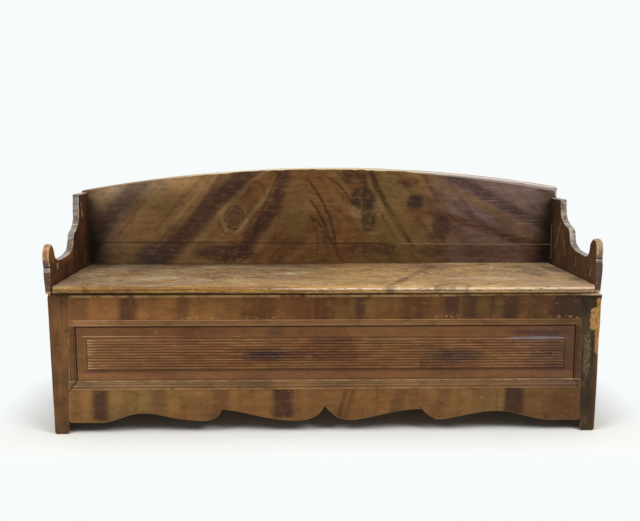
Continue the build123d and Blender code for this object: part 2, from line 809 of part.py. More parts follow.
with BuildPart() as cleat_nails:
    for side in (-1, 1):
        nail(cleat_nails_at(side), (side, 0, 0), cleat_nail_length)
save(cleat_nails, "cleat_nails")

save(lid_board_front(), "lid_front_board")
save(lid_board_rear(), "lid_rear_board")
for x, name in zip(batten_places, ("left", "middle", "right")):
    save(lid_batten(x), f"lid_batten_{name}")
with BuildPart() as batten_nails:
    for x in batten_places:
        nail(batten_nails_at(x), (0, 0, 1), batten_nail_length)
save(batten_nails, "batten_nails")

save(fixed_bearer(front_bearer_y), "front_bearer")
save(fixed_bearer(rear_bearer_y), "rear_bearer")
for number, index in enumerate(fixed, 1):
    save(fixed_slat(index), f"fixed_slat_{number}")
for number, index in enumerate(sliding, 1):
    save(sliding_slat(index), f"sliding_slat_{number}")
for index, name in zip(stopped, ("left", "middle", "right")):
    save(stop_block(index), f"slat_stop_{name}")
with BuildPart() as fixed_slat_nails:
    ys = [front_bearer_y + bearer_width / 2, rear_bearer_y + bearer_width / 2]
    for index in fixed:
        nail(slat_nails_at(index, bearer_top + slat_thickness, ys), (0, 0, -1), slat_nail_length)
save(fixed_slat_nails, "fixed_slat_nails")
with BuildPart() as sliding_slat_nails:
    for index in sliding:
        nail(sliding_slat_nails_at(index), (0, 0, -1), slat_nail_length)
save(sliding_slat_nails, "sliding_slat_nails")

save(sliding_bearer(), "sliding_bearer")
with BuildPart() as bearer_nails:
    nail(bearer_nails_at(), (0, -1, 0), bearer_nail_length)
save(bearer_nails, "bearer_nails")

save(stile(-1), "stile_left")
save(stile(1), "stile_right")
save(top_rail(), "top_rail")
save(apron_rail(), "apron_rail")
save(reeded_panel(), "reeded_panel")
for index, name in enumerate(("bottom", "right", "top", "left")):
    save(moulding(index), f"moulding_{name}")
with BuildPart() as frame_pegs:
    for side in (-1, 1):
        for tenon in (top_rail_tenon, apron_tenon):
            pegs(side, tenon)
save(frame_pegs, "frame_pegs")

print(f"lid turns about y {pivot_y:.2f}, z {pivot_z:.2f}")
print(f"bed front travels {front_travel:.2f}")
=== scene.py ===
# %% [markdown]
# # A worn settle bench
#
# This is a country settle: a long painted pine bench with boarded ends, an arched back, a
# lift-up seat over a bedding box, and a framed front that pulls out to make a bed. The
# construction comes in as a fixed frame, one object for each board. What is left for this
# script is everything that time and a painter did to it: rounded and dented edges, paint
# grained to look like flame-figured birch, bare wood where hands and shoes have rubbed.
#
# The first cell loads the frame and keeps the size of the construction.

# %% Load the frame
import json
import math

import bmesh
import bpy
import numpy as np
from mathutils import Euler, Matrix, Vector


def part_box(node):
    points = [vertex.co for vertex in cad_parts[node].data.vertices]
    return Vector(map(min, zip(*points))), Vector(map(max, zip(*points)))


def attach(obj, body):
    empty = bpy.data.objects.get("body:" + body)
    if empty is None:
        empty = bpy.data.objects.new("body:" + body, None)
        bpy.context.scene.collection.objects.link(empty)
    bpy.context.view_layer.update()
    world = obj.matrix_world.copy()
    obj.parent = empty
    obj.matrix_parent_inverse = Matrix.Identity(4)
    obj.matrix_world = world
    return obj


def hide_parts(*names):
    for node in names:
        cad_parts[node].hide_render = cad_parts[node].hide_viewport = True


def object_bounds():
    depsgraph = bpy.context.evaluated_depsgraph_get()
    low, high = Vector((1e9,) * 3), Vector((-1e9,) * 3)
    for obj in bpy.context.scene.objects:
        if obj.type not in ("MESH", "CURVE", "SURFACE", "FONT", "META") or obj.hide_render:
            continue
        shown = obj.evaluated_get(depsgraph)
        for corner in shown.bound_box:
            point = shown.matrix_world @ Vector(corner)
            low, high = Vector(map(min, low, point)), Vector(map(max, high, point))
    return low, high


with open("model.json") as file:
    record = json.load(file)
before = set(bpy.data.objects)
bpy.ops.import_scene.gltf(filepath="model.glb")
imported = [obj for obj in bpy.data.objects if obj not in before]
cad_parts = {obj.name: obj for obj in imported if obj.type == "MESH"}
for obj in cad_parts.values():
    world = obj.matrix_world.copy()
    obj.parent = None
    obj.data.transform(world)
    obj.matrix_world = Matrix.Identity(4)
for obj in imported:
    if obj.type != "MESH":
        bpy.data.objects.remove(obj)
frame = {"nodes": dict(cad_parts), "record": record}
nodes = frame["nodes"]
cad_box = [list(corner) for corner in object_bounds()]
print("construction box", cad_box)

# %% [markdown]
# ## Where things are
#
# A few heights and faces are read from the frame once, so that the finishes below can say
# "a hand above the seat" instead of a bare number.

# %% Places read from the frame
lid_low, lid_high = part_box("lid_front_board")
stile_low, stile_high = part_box("stile_right")
apron_low, apron_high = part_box("apron_rail")
rail_low, rail_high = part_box("top_rail")
SEAT = lid_high.z
FRONT = stile_low.y
FRONT_TOP = stile_high.z
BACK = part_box("back_upper_board")[0].y
PANEL_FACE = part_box("reeded_panel")[0].y
print(f"seat {SEAT:.3f}, front face {FRONT:.3f}, back face {BACK:.3f}, front top {FRONT_TOP:.3f}")

# %% [markdown]
# ## The camera
#
# The bench is looked at from a little above the seat and almost straight on. The lens is
# slightly long, so the ends of the bench open up only a little. The small shift keeps the
# bench where it sits in the frame without tilting the camera further.

# %% Camera
IMAGE_WIDTH = 640
FOCAL_PIXELS = 845.8
SENSOR = 36.0
CAMERA_PLACE = (-0.0865, FRONT - 2.6875, 0.9398)
PITCH = math.radians(8.28)
YAW = math.radians(1.48)
ROLL = math.radians(0.08)
CENTRE_DROP = 7.7


def put(name, data):
    """New object in the scene with this data."""
    thing = bpy.data.objects.new(name, data)
    bpy.context.scene.collection.objects.link(thing)
    return thing


def make_camera():
    """Camera with lens = focal length in pixels / image width * sensor width."""
    data = bpy.data.cameras.new("camera")
    data.sensor_width = SENSOR
    data.lens = FOCAL_PIXELS / IMAGE_WIDTH * SENSOR
    data.shift_y = CENTRE_DROP / IMAGE_WIDTH
    data.clip_end = 200.0
    camera = put("camera", data)
    turn = Euler((math.pi / 2 - PITCH, 0.0, -YAW)).to_matrix() @ Matrix.Rotation(ROLL, 3, "Z")
    camera.matrix_world = Matrix.Translation(CAMERA_PLACE) @ turn.to_4x4()
    bpy.context.scene.camera = camera
    return camera


camera = make_camera()
print("lens", round(camera.data.lens, 2))

# %% [markdown]
# ## Shader sums written as sums
#
# Every finish below is a small tree of nodes. Wiring them by hand hides the idea, so a
# `Wire` stands for one socket and the usual operators add Math nodes: `1 - mask` and
# `grain * 0.5` then read like what they are. Colours never go through Math nodes, which
# would turn them grey: they go through a Mix. A plain (red, green, blue) is a colour as it
# looks on a screen, from 0 to 255, and is made linear once, where it meets a node.

# %% Wires and finishes
class Wire:
    """One output socket of a graph; operators add Math nodes."""

    def __init__(self, graph, socket):
        self.graph = graph
        self.socket = socket

    def math(self, operation, *others):
        """Math node of this wire and others."""
        sockets = dict(enumerate((self, *others)))
        return self.graph.add("ShaderNodeMath", {"operation": operation}, sockets)

    def __add__(self, other):
        return self.math("ADD", other)

    def __sub__(self, other):
        return self.math("SUBTRACT", other)

    def __mul__(self, other):
        return self.math("MULTIPLY", other)

    def __rsub__(self, other):
        return self * -1.0 + other

    def __abs__(self):
        return self.math("ABSOLUTE")

    def __pow__(self, power):
        return self.math("POWER", power)

    __radd__ = __add__
    __rmul__ = __mul__

    def highest(self, other):
        """The higher of this wire and another."""
        return self.math("MAXIMUM", other)

    def step(self, low, high):
        """0 below low, 1 above high, smooth between; low may be the larger."""
        sockets = {"Value": self, "From Min": low, "From Max": high}
        return self.graph.add("ShaderNodeMapRange", {"interpolation_type": "SMOOTHSTEP"}, sockets)

    def between(self, start, full, fading, end):
        """1 from full to fading, smooth to 0 at start and at end."""
        return self.step(start, full) * self.step(end, fading)

    def near(self, place, outer, inner):
        """1 within inner of a place, smooth to 0 at outer from it."""
        return abs(self - place).step(outer, inner)


def paint(red, green, blue):
    """Linear colour of an sRGB one: ((c + 0.055) / 1.055) ** 2.4 for each channel."""
    tones = [((c / 255 + 0.055) / 1.055) ** 2.4 for c in (red, green, blue)]
    return (*tones, 1.0)


class Graph:
    """A node tree and the one way in which nodes come into it."""

    def __init__(self, owner):
        owner.use_nodes = True
        self.tree = owner.node_tree

    def add(self, kind, settings=None, sockets=None, output=0):
        """Add a node: its settings first, then the values or wires of its sockets."""
        node = self.tree.nodes.new(kind)
        for key, value in (settings or {}).items():
            setattr(node, key, value)
        self.feed(node, sockets or {})
        return Wire(self, node.outputs[output])

    def feed(self, node, sockets):
        """Give a node's sockets their values or wires; plain colours are made linear."""
        for key, value in sockets.items():
            if isinstance(value, Wire):
                self.tree.links.new(value.socket, node.inputs[key])
            else:
                is_colour = node.inputs[key].type == "RGBA" and len(value) == 3
                node.inputs[key].default_value = paint(*value) if is_colour else value

    def seen(self):
        """1 on rays that come from the camera, off gloss or through glass."""
        camera, gloss, glass = (self.add("ShaderNodeLightPath", output=f"Is {kind} Ray")
                                for kind in ("Camera", "Glossy", "Transmission"))
        return camera.highest(gloss).highest(glass)

    def show(self, share, first, second):
        """Send the first of two shaders to the output, or the second by its share."""
        blend = self.add("ShaderNodeMixShader", None, {0: share, 1: first, 2: second})
        output = next(node for node in self.tree.nodes if node.type.startswith("OUTPUT"))
        self.tree.links.new(blend.socket, output.inputs[0])


class Finish(Graph):
    """A material, the few kinds of node its pattern is made of, and its colour so far."""

    def __init__(self, name, colour=None):
        self.material = bpy.data.materials.new(name)
        super().__init__(self.material)
        self.colour = colour
        self.shader = self.tree.nodes["Principled BSDF"]
        self.place = self.add("ShaderNodeTexCoord", output=3)
        self.axes = [self.add("ShaderNodeSeparateXYZ", None, {0: self.place}, i) for i in range(3)]
        self.x, self.y, self.z = self.axes

    def mark(self, name):
        """What the mesh's attribute of a name says, from 0 to 1."""
        return self.add("ShaderNodeAttribute", {"attribute_name": name}, output=2)

    def noise(self, scale, detail=3, roughness=0.55, shift=(0, 0, 0), distortion=0):
        """Cloudy noise, about 0.3 to 0.7: scale is its clouds per metre on each axis."""
        scaled = self.add("ShaderNodeVectorMath", {"operation": "MULTIPLY"}, {0: self.place, 1: scale})
        place = self.add("ShaderNodeVectorMath", {"operation": "ADD"}, {0: scaled, 1: shift})
        return self.clouds_at(place, detail, roughness, distortion)

    def clouds_at(self, place, detail, roughness=0.5, distortion=0):
        """Cloudy noise over a wire of places."""
        sockets = {"Vector": place, "Scale": 1, "Detail": detail, "Roughness": roughness,
                   "Distortion": distortion}
        return self.add("ShaderNodeTexNoise", None, sockets)

    def mix(self, factor, first, second):
        """Colour between first and second."""
        return self.add("ShaderNodeMix", {"data_type": "RGBA"}, {0: factor, 6: first, 7: second}, output=2)

    def lay(self, mask, tone):
        """Lay a tone over the colour so far, by the strength of a mask."""
        self.colour = self.mix(mask, self.colour, tone)

    def ramp(self, value, stops):
        """Colour at a value, between (position, linear colour) stops."""
        shade = self.add("ShaderNodeValToRGB", None, {0: value})
        elements = shade.socket.node.color_ramp.elements
        while len(elements) < len(stops):
            elements.new(1.0)
        for element, (position, colour) in zip(elements, stops):
            element.position = position
            element.color = colour
        return shade

    def bands(self, across, spans, edge):
        """Grey level of soft bands: (low, high, strength) in metres along a wire.

        A ramp runs from -1 to 1 m and has room for 32 stops, so 7 bands of 4 stops go on one.
        """
        position = across * 0.5 + 0.5
        total = None
        for start in range(0, len(spans), SPANS_ON_RAMP):
            stops = [(0.0, (0.0, 0.0, 0.0, 1.0))]
            for low, high, strength in spans[start:start + SPANS_ON_RAMP]:
                soft = min(edge, 0.45 * (high - low))
                for at, level in ((low - soft, 0), (low + soft, strength),
                                  (high - soft, strength), (high + soft, 0)):
                    stops.append((at * 0.5 + 0.5, (level, level, level, 1.0)))
            ramp = self.ramp(position, stops)
            total = ramp if total is None else total.highest(ramp)
        return total

    def stroke(self, rise, places, width, warp):
        """Brush stroke across a board: 1 on a parabola through three places, 0 a width away.

        places are x at rise 0, REACH / 2 and REACH; x = a + b * rise + c * rise ** 2.
        """
        low, middle, high = places
        curve = 2 * (low - 2 * middle + high) / REACH ** 2
        slope = (high - low) / REACH - curve * REACH
        line = rise * rise * curve + rise * slope + low
        return abs(self.x + warp - line).step(width * 1.15, width * 0.25)

    def seam(self, across, up, first, second, width):
        """1 on the line between two (across, up) places, lowest first, 0 a width away.

        across and up are the wires of the two axes that the line is drawn on.
        """
        (a0, u0), (a1, u1) = first, second
        length = math.hypot(a1 - a0, u1 - u0)
        beside = (across - a0) * ((u1 - u0) / length) - (up - u0) * ((a1 - a0) / length)
        line = abs(beside).step(width, width * 0.4)
        return line * up.between(u0 - 0.001, u0, u1, u1 + 0.001)

    def away(self, centre, radii, warp):
        """Distance from a place on the XZ plane, 1 on an ellipse with these radii."""
        across = (self.x + warp - centre[0]) * (1 / radii[0])
        up = (self.z + warp - centre[1]) * (1 / radii[1])
        return (across * across + up * up) ** 0.5

    def spot(self, centre, radii, warp):
        """1 inside an ellipse on the XZ plane, softly 0 outside."""
        return self.away(centre, radii, warp).step(1.25, 0.7)

    def ring(self, centre, radii, warp, width=0.25):
        """1 on the rim of an ellipse on the XZ plane, softly 0 beside it."""
        return abs(self.away(centre, radii, warp) - 1.0).step(width, width * 0.3)

    def surface(self, roughness, bump, height=0.001, specular=0.35):
        """Join the colour, a roughness and a bump of the given height to the shader."""
        normal = self.add("ShaderNodeBump", None, {"Strength": 1.0, "Distance": height, "Height": bump})
        self.feed(self.shader, {"Base Color": self.colour, "Roughness": roughness, "Normal": normal,
                                "Specular IOR Level": specular})
        return self.material


def new_finish(name):
    """A finish, its wires x, y and z, and the two methods that every one of them uses most."""
    finish = Finish(name)
    return finish, finish.axes, finish.lay, finish.noise


# A brush stroke's three places are given over this height, and a ramp holds this many bands.
REACH = 0.34
SPANS_ON_RAMP = 7
print("finishes ready")

# %% [markdown]
# ## What every painted board shares
#
# Old brushed paint is never one colour. Over the graining lie fine streaks from the brush,
# grime in broad clouds, pinprick chips, and scratches along the board. On the edges, which
# the mesh marks with an attribute called `edge`, the paint is rubbed through to wood.

# %% Shared wear
# Bare wood where paint chipped; on moulding ridges also painted highlight.
CHIP_AND_HIGHLIGHT = (172, 130, 80)
# Near-black brown: grime, and painted shade in the hollows of the mouldings and reeds.
GRIME_AND_SHADE = (30, 19, 10)
UNDER_LID = (14, 9, 6)


def along_grain(fine, coarse, along):
    """Noise scale with its grain along one axis: fine clouds across, coarse ones along."""
    scale = [fine] * 3
    scale[along] = coarse
    return tuple(scale)


def aged(finish, along, brushed=0.34, faded=0.14, chips=0.5, edge_colour=CHIP_AND_HIGHLIGHT):
    """Lay streaks, grime, fading, chips and rubbed edges over a finish.

    Returns a height for the bump, and where the paint is rubbed through.
    """
    lay, noise = finish.lay, finish.noise
    brush = noise(along_grain(240, 9, along), 4, 0.7)
    grain = noise(along_grain(90, 5, along), 3, 0.55, (0, 3, 2))
    clouds = noise((5, 5, 7), 5, 0.6, (3.1, 0, 1.7))
    mottle = noise(along_grain(48, 20, along), 4, 0.7, (8, 1, 6))
    lay(brush.step(0.36, 0.66) * brushed, GRIME_AND_SHADE)
    lay(grain.step(0.48, 0.66) * brushed * 0.8, GRIME_AND_SHADE)
    lay(clouds.step(0.44, 0.7) * 0.34, GRIME_AND_SHADE)
    lay(mottle.step(0.5, 0.68) * 0.26, GRIME_AND_SHADE)
    lay(mottle.step(0.46, 0.3) * faded, CHIP_AND_HIGHLIGHT)
    flecks = noise(along_grain(95, 30, along), 4, 0.7, (7, 2, 5)).step(0.66, 0.71)
    lay(flecks * chips, CHIP_AND_HIGHLIGHT)
    dents = noise((44, 44, 44), 2, 0.55, (1, 9, 4)).step(0.67, 0.73)
    lay(dents * 0.4, GRIME_AND_SHADE)
    rubbed = noise((30, 30, 30), 5, 0.7, (2, 2, 8))
    worn = (finish.mark("edge") * 0.55 + rubbed - 0.5).step(0.34, 0.56)
    lay(worn * 0.75, edge_colour)
    bump = clouds * 0.5 + mottle * 0.5 - brush * 0.3 - flecks * 0.35 - dents * 0.6
    return bump, worn


def paint_shade_under_lid(finish, behind):
    """Painted shade: near black on the top face, from a distance behind the front face on, where the lid
    shades it.
    """
    top = finish.z.step(FRONT_TOP - 0.0014, FRONT_TOP - 0.0006)
    finish.lay(top * finish.y.step(FRONT + behind, FRONT + behind + 0.002) * 0.95, UNDER_LID)


print("shared wear ready")

# %% [markdown]
# ## Flame graining on the back
#
# The painter dragged a dark glaze over a golden ground to imitate flame-figured birch:
# strokes lean in from both ends towards the middle, where they turn into tight arches, with
# an eye, a knot and a stain wiped in. One coordinate follows that flow: it is the same all
# along an arch, so noise stretched along it looks like the hairs of the brush. Each stroke is
# a parabola across the board, and its edges are frayed by that same noise.

# %% Back strokes
GOLD = (116, 86, 50)
PALE = (138, 108, 70)
OLIVE = (104, 80, 42)
ORANGE = (106, 70, 36)
MAUVE = (114, 91, 84)
ASH = (104, 84, 68)
PURPLE = (56, 32, 26)
SLATE = (64, 50, 46)
RED_BROWN = (78, 44, 27)
UMBER = (44, 26, 15)
SOOT_AND_SHADE = (24, 16, 10)

# (x at the seat, half way up and near the top; half width; strength; colour; lowest and
# highest rise above the seat)
BACK_STROKES = (
    ((-0.94, -0.80, -0.65), 0.075, 0.70, SLATE, (-0.05, 0.40)),
    ((-0.90, -0.80, -0.70), 0.034, 0.50, PURPLE, (-0.05, 0.22)),
    ((-0.72, -0.69, -0.58), 0.014, 0.45, PALE, (0.14, 0.36)),
    ((-0.64, -0.60, -0.50), 0.016, 0.35, OLIVE, (0.0, 0.25)),
    ((-0.62, -0.49, -0.37), 0.018, 0.60, RED_BROWN, (0.10, 0.36)),
    ((-0.69, -0.545, -0.402), 0.009, 0.60, PALE, (0.16, 0.36)),
    ((-0.72, -0.59, -0.43), 0.010, 0.35, RED_BROWN, (0.12, 0.36)),
    ((-0.635, -0.458, -0.285), 0.080, 0.86, PURPLE, (-0.05, 0.42)),
    ((-0.66, -0.53, -0.36), 0.090, 0.70, SLATE, (-0.05, 0.085)),
    ((-0.52, -0.40, -0.22), 0.018, 0.45, PALE, (0.16, 0.36)),
    ((-0.41, -0.278, -0.140), 0.016, 0.55, PALE, (0.11, 0.33)),
    ((-0.365, -0.208, -0.140), 0.038, 0.84, PURPLE, (0.02, 0.42)),
    ((-0.28, -0.235, -0.155), 0.008, 0.55, UMBER, (0.10, 0.42)),
    ((0.052, 0.034, -0.068), 0.0080, 0.75, UMBER, (0.06, 0.325)),
    ((0.020, 0.0045, -0.140), 0.0075, 0.75, UMBER, (0.09, 0.25)),
    ((-0.070, -0.030, -0.500), 0.0070, 0.60, UMBER, (0.070, 0.205)),
    ((0.085, -0.002, -0.080), 0.0080, 0.45, UMBER, (-0.02, 0.12)),
    ((-0.030, -0.035, -0.190), 0.0070, 0.35, UMBER, (0.02, 0.27)),
    ((0.010, 0.060, -0.020), 0.0090, 0.35, RED_BROWN, (0.10, 0.34)),
    ((-0.20, -0.160, -0.120), 0.0060, 0.40, RED_BROWN, (0.08, 0.32)),
    ((-0.521, 0.047, -0.001), 0.0060, 0.80, UMBER, (0.235, 0.335)),
    ((0.398, 0.281, 0.190), 0.0140, 0.75, UMBER, (0.05, 0.36)),
    ((0.374, 0.256, 0.168), 0.0070, 0.50, PALE, (0.07, 0.34)),
    ((0.350, 0.236, 0.150), 0.0060, 0.55, UMBER, (0.08, 0.34)),
    ((0.500, 0.470, 0.385), 0.0120, 0.60, RED_BROWN, (0.22, 0.35)),
    ((1.150, 0.800, 0.470), 0.060, 0.75, SLATE, (0.10, 0.40)),
    ((1.250, 0.870, 0.550), 0.020, 0.40, MAUVE, (0.10, 0.40)),
    ((0.950, 0.700, 0.400), 0.038, 0.60, GOLD, (0.06, 0.30)),
    ((1.060, 0.500, 0.020), 0.070, 0.75, RED_BROWN, (0.05, 0.20)),
    ((0.900, 0.590, 0.360), 0.030, 0.35, PURPLE, (0.06, 0.28)),
)

# (x and rise of the middle; half width and half height; strength; colour; blotchy or not)
BACK_SPOTS = (
    ((-0.600, 0.250), (0.050, 0.050), 0.40, GOLD, False),
    ((-0.095, 0.205), (0.048, 0.130), 0.60, OLIVE, False),
    ((0.100, 0.200), (0.060, 0.110), 0.35, ORANGE, False),
    ((-0.330, 0.176), (0.060, 0.072), 0.35, PALE, False),
    ((-0.330, 0.174), (0.032, 0.040), 0.80, RED_BROWN, False),
    ((-0.360, 0.036), (0.120, 0.034), 0.80, PURPLE, False),
    ((0.118, 0.330), (0.060, 0.032), 0.70, UMBER, True),
    ((0.136, 0.194), (0.028, 0.026), 0.60, PALE, True),
    ((0.210, 0.205), (0.026, 0.032), 0.60, PALE, True),
    ((0.159, 0.248), (0.048, 0.042), 0.88, (44, 34, 26), True),
    ((0.180, 0.170), (0.030, 0.058), 0.80, (50, 38, 30), True),
    ((0.300, 0.200), (0.050, 0.120), 0.35, GOLD, False),
    ((0.372, 0.215), (0.056, 0.056), 0.45, RED_BROWN, False),
    ((0.358, 0.231), (0.031, 0.032), 0.90, (50, 34, 32), False),
    ((0.326, 0.306), (0.046, 0.017), 0.70, RED_BROWN, False),
    ((0.455, 0.130), (0.036, 0.056), 0.70, PURPLE, False),
    ((0.197, 0.052), (0.120, 0.024), 0.60, PURPLE, True),
    ((0.420, 0.040), (0.060, 0.020), 0.50, UMBER, True),
    ((0.700, 0.038), (0.160, 0.030), 0.45, RED_BROWN, False),
    ((0.800, 0.270), (0.100, 0.050), 0.35, (128, 108, 98), False),
)
print("strokes and spots on the back:", len(BACK_STROKES), len(BACK_SPOTS))

# %% [markdown]
# The finish lays the ground, the strokes and the spots in that order. The far side of the
# boards was never painted, and the corners at the arms are darkened with a painted shadow
# of the arms, which fades out above the wings.

# %% Back finish
FLOW_MIDDLE = -0.05
FLOW_SOFT = 0.09
# The arch's top edge: its rise above the seat, and how much lower it is 1 m from the middle.
ARCH_RISE = 0.361
ARCH_FALL = 0.101
# The joint over the middle board: its rise at x = 0, and how it slopes.
JOINT_RISE = 0.0755
JOINT_SLOPE = 0.0062
EYE_X = -0.328
ARM_INSIDE = 0.878
# Colour of the ground at places along the back, with -1 to 1 m written as 0 to 1.
BACK_GROUND = (
    (0.06, ASH), (0.15, GOLD), (0.28, GOLD), (0.36, ORANGE), (0.45, ORANGE), (0.55, ORANGE),
    (0.62, OLIVE), (0.70, GOLD), (0.77, MAUVE), (1.0, MAUVE),
)


def back_finish():
    """Golden ground that cools to the ends, strokes, spots, painted sheen, and painted shadow at the arms.

    flow = sqrt((x - middle) ** 2 + soft ** 2) + 0.75 * rise, the same all along an arch.
    Hairs and wide streaks are noise over (flow, x, rise), long along the flow.
    """
    finish, (x, y, z), lay, noise = new_finish("grained_back")
    rise = z - SEAT
    sway = noise((5, 1, 7), 2, 0.55, (2, 0, 0)) * 0.07 - 0.035
    waver = noise((16, 1, 20)) * 0.022 - 0.011
    aside = x - FLOW_MIDDLE
    flow = (aside * aside + FLOW_SOFT ** 2) ** 0.5 + rise * 0.75 + sway * 0.4
    hairs_at = finish.add("ShaderNodeCombineXYZ", None, {0: flow * 70, 1: x * 5, 2: rise * 4})
    hairs = finish.clouds_at(hairs_at, 4)
    wide_at = finish.add("ShaderNodeCombineXYZ", None, {0: flow * 19, 1: x * 2.5, 2: rise * 2})
    wide = finish.clouds_at(wide_at, 3)
    ground = [(place, paint(*tone)) for place, tone in BACK_GROUND]
    finish.colour = finish.ramp((x + sway * 1.6) * 0.5 + 0.5, ground)
    lay(wide.step(0.44, 0.66) * 0.45, RED_BROWN)
    lay(wide.step(0.44, 0.3) * 0.35, PALE)
    lay(x.step(-0.15, -0.45) * 0.16, PALE)
    under_arch = x * x * -ARCH_FALL - rise + ARCH_RISE
    # Painted sheen: a pale haze just under the arch, on the left half.
    painted_sheen = under_arch.step(0.09, 0.01) * x.between(-0.9, -0.74, -0.45, -0.18)
    sheen_tone = finish.mix(x.step(-0.66, -0.54), (184, 154, 122), (170, 132, 88))
    lay(painted_sheen * 0.94, sheen_tone)
    warm = rise.step(0.15, 0.07) * x.step(0.3, 0.45)
    lay(warm * 0.32, (92, 60, 36))
    frayed = (hairs - 0.5) * 0.03 + waver
    for places, width, strength, tone, (low, high) in BACK_STROKES:
        calm = min(1.0, width * 25) * min(1.0, 0.3 / abs(places[0] - places[2]))
        mark = finish.stroke(rise, places, width, sway * 0.15 + frayed * calm)
        if low > 0:
            mark = mark * rise.step(low - 0.012, low + 0.022)
        if high < 0.36:
            mark = mark * rise.step(high + 0.012, high - 0.022)
        lay(mark * strength, tone)
    blots = noise((44, 8, 34), 5, 0.7, (0, 4, 1))
    for centre, radii, strength, tone, blotchy in BACK_SPOTS:
        mark = finish.spot((centre[0], SEAT + centre[1]), radii, frayed * 0.8)
        if blotchy:
            mark = mark * blots.step(0.36, 0.52)
        lay(mark * strength, tone)
    eye = finish.ring((EYE_X, SEAT + 0.174), (0.036, 0.044), frayed * 0.5, width=0.2)
    lay(eye * hairs.step(0.34, 0.54) * 0.6, UMBER)
    lash = finish.ring((EYE_X, SEAT + 0.172), (0.062, 0.07), frayed * 0.5, width=0.1)
    lash = lash * rise.step(0.175, 0.15) * x.near(EYE_X, 0.02, 0.04)
    lay(lash * 0.5, UMBER)
    hook = finish.ring((-0.245, SEAT + 0.262), (0.034, 0.046), frayed * 0.7, width=0.2)
    lay(hook * rise.step(0.245, 0.275) * 0.6, RED_BROWN)
    lay(hairs.step(0.5, 0.68) * 0.14, UMBER)
    lay(hairs.step(0.44, 0.3) * 0.08, PALE)
    wiped = noise((7, 1, 190), 4, 0.65, (2, 0, 5))
    wiped = wiped.step(0.54, 0.64) * (x.step(0.45, 0.62) * 0.2 + 0.08)
    lay(wiped, (158, 132, 112))
    dusty = noise((26, 1, 60), 5, 0.72, (4, 0, 9))
    lay(dusty.step(0.54, 0.64) * 0.2, (140, 112, 80))
    bump, worn = aged(finish, along=0, brushed=0.15, chips=0.3, faded=0.12)
    rubbed = noise((30, 20, 20), 4, 0.7).step(0.22, 0.4)
    cream = finish.mix(x.step(0.1, 0.7), (208, 190, 154), (204, 192, 178))
    cream = finish.mix(x.step(-0.3, -0.75) * 0.75, cream, (120, 98, 78))
    lay(finish.mark("rim") * rise.step(0.244, 0.254) * rubbed * 0.95, cream)
    band = under_arch.step(0.01, 0.0055) * x.step(0.25, 0.5) * rubbed
    lay(band * 0.48, (190, 180, 174))
    low_board = rise.step(0.08, 0.074) * x.between(0.08, 0.24, 0.62, 0.72)
    lay(low_board * 0.16, SOOT_AND_SHADE)
    # Painted shadow of the arms on the back: near black close to each arm, gone above the wings.
    arm_shadow_reach = ARM_INSIDE - abs(x) + rise * 0.14 + waver
    lay(arm_shadow_reach.step(0.095, 0.015) * rise.step(0.285, 0.215) * 0.88, SOOT_AND_SHADE)
    joint = (rise + x * JOINT_SLOPE).near(JOINT_RISE, 0.0026, 0.001)
    lay(joint * 0.7, finish.mix(x.step(0.22, 0.34), UMBER, (150, 132, 98)))
    behind = y.step(BACK + 0.003, BACK + 0.006)
    bare = noise((4, 60, 60), 4).step(0.36, 0.64)
    lay(behind, finish.mix(bare, (150, 116, 78), (112, 82, 54)))
    return finish.surface(0.5 + worn * 0.25, bump, height=0.0008, specular=0.1)


BACK_FINISH = back_finish()
print("nodes in the back's finish:", len(BACK_FINISH.node_tree.nodes))

# %% [markdown]
# ## Banded graining on the front
#
# The rails of the front are grained with upright bands of purple-brown glaze, as if cut from
# a plank with ripples in it. Bands are given where they stand along the rail; they lean and
# waver a little, and fade before the lower edge.

# %% Rail finishes
GLAZE = (58, 32, 26)
# Ground, its redder tone, its greener tone.
TOP_RAIL_TONES = ((112, 74, 36), (98, 60, 30), (104, 76, 38))
APRON_TONES = ((136, 98, 54), (124, 84, 46), (122, 96, 54))

# Bands: (low edge, high edge, strength) along the rail.
TOP_RAIL_BANDS = (
    (-0.82, -0.765, 0.40), (-0.665, -0.606, 0.75), (-0.481, -0.436, 0.55), (-0.262, -0.160, 0.30),
    (-0.030, -0.018, 0.70), (-0.010, 0.006, 0.60), (0.020, 0.034, 0.45), (0.103, 0.132, 0.75),
    (0.243, 0.324, 0.40), (0.389, 0.438, 0.75), (0.450, 0.492, 0.80), (0.534, 0.543, 0.60),
    (0.579, 0.628, 0.85), (0.742, 0.90, 0.85),
)
APRON_BANDS = (
    (-0.83, -0.80, 0.30), (-0.762, -0.712, 0.90), (-0.572, -0.520, 0.40), (-0.369, -0.316, 0.45),
    (-0.173, -0.107, 0.92), (0.050, 0.062, 0.75), (0.074, 0.088, 0.60), (0.218, 0.256, 0.35),
    (0.360, 0.402, 0.40), (0.594, 0.654, 0.92), (0.745, 0.90, 0.25),
)


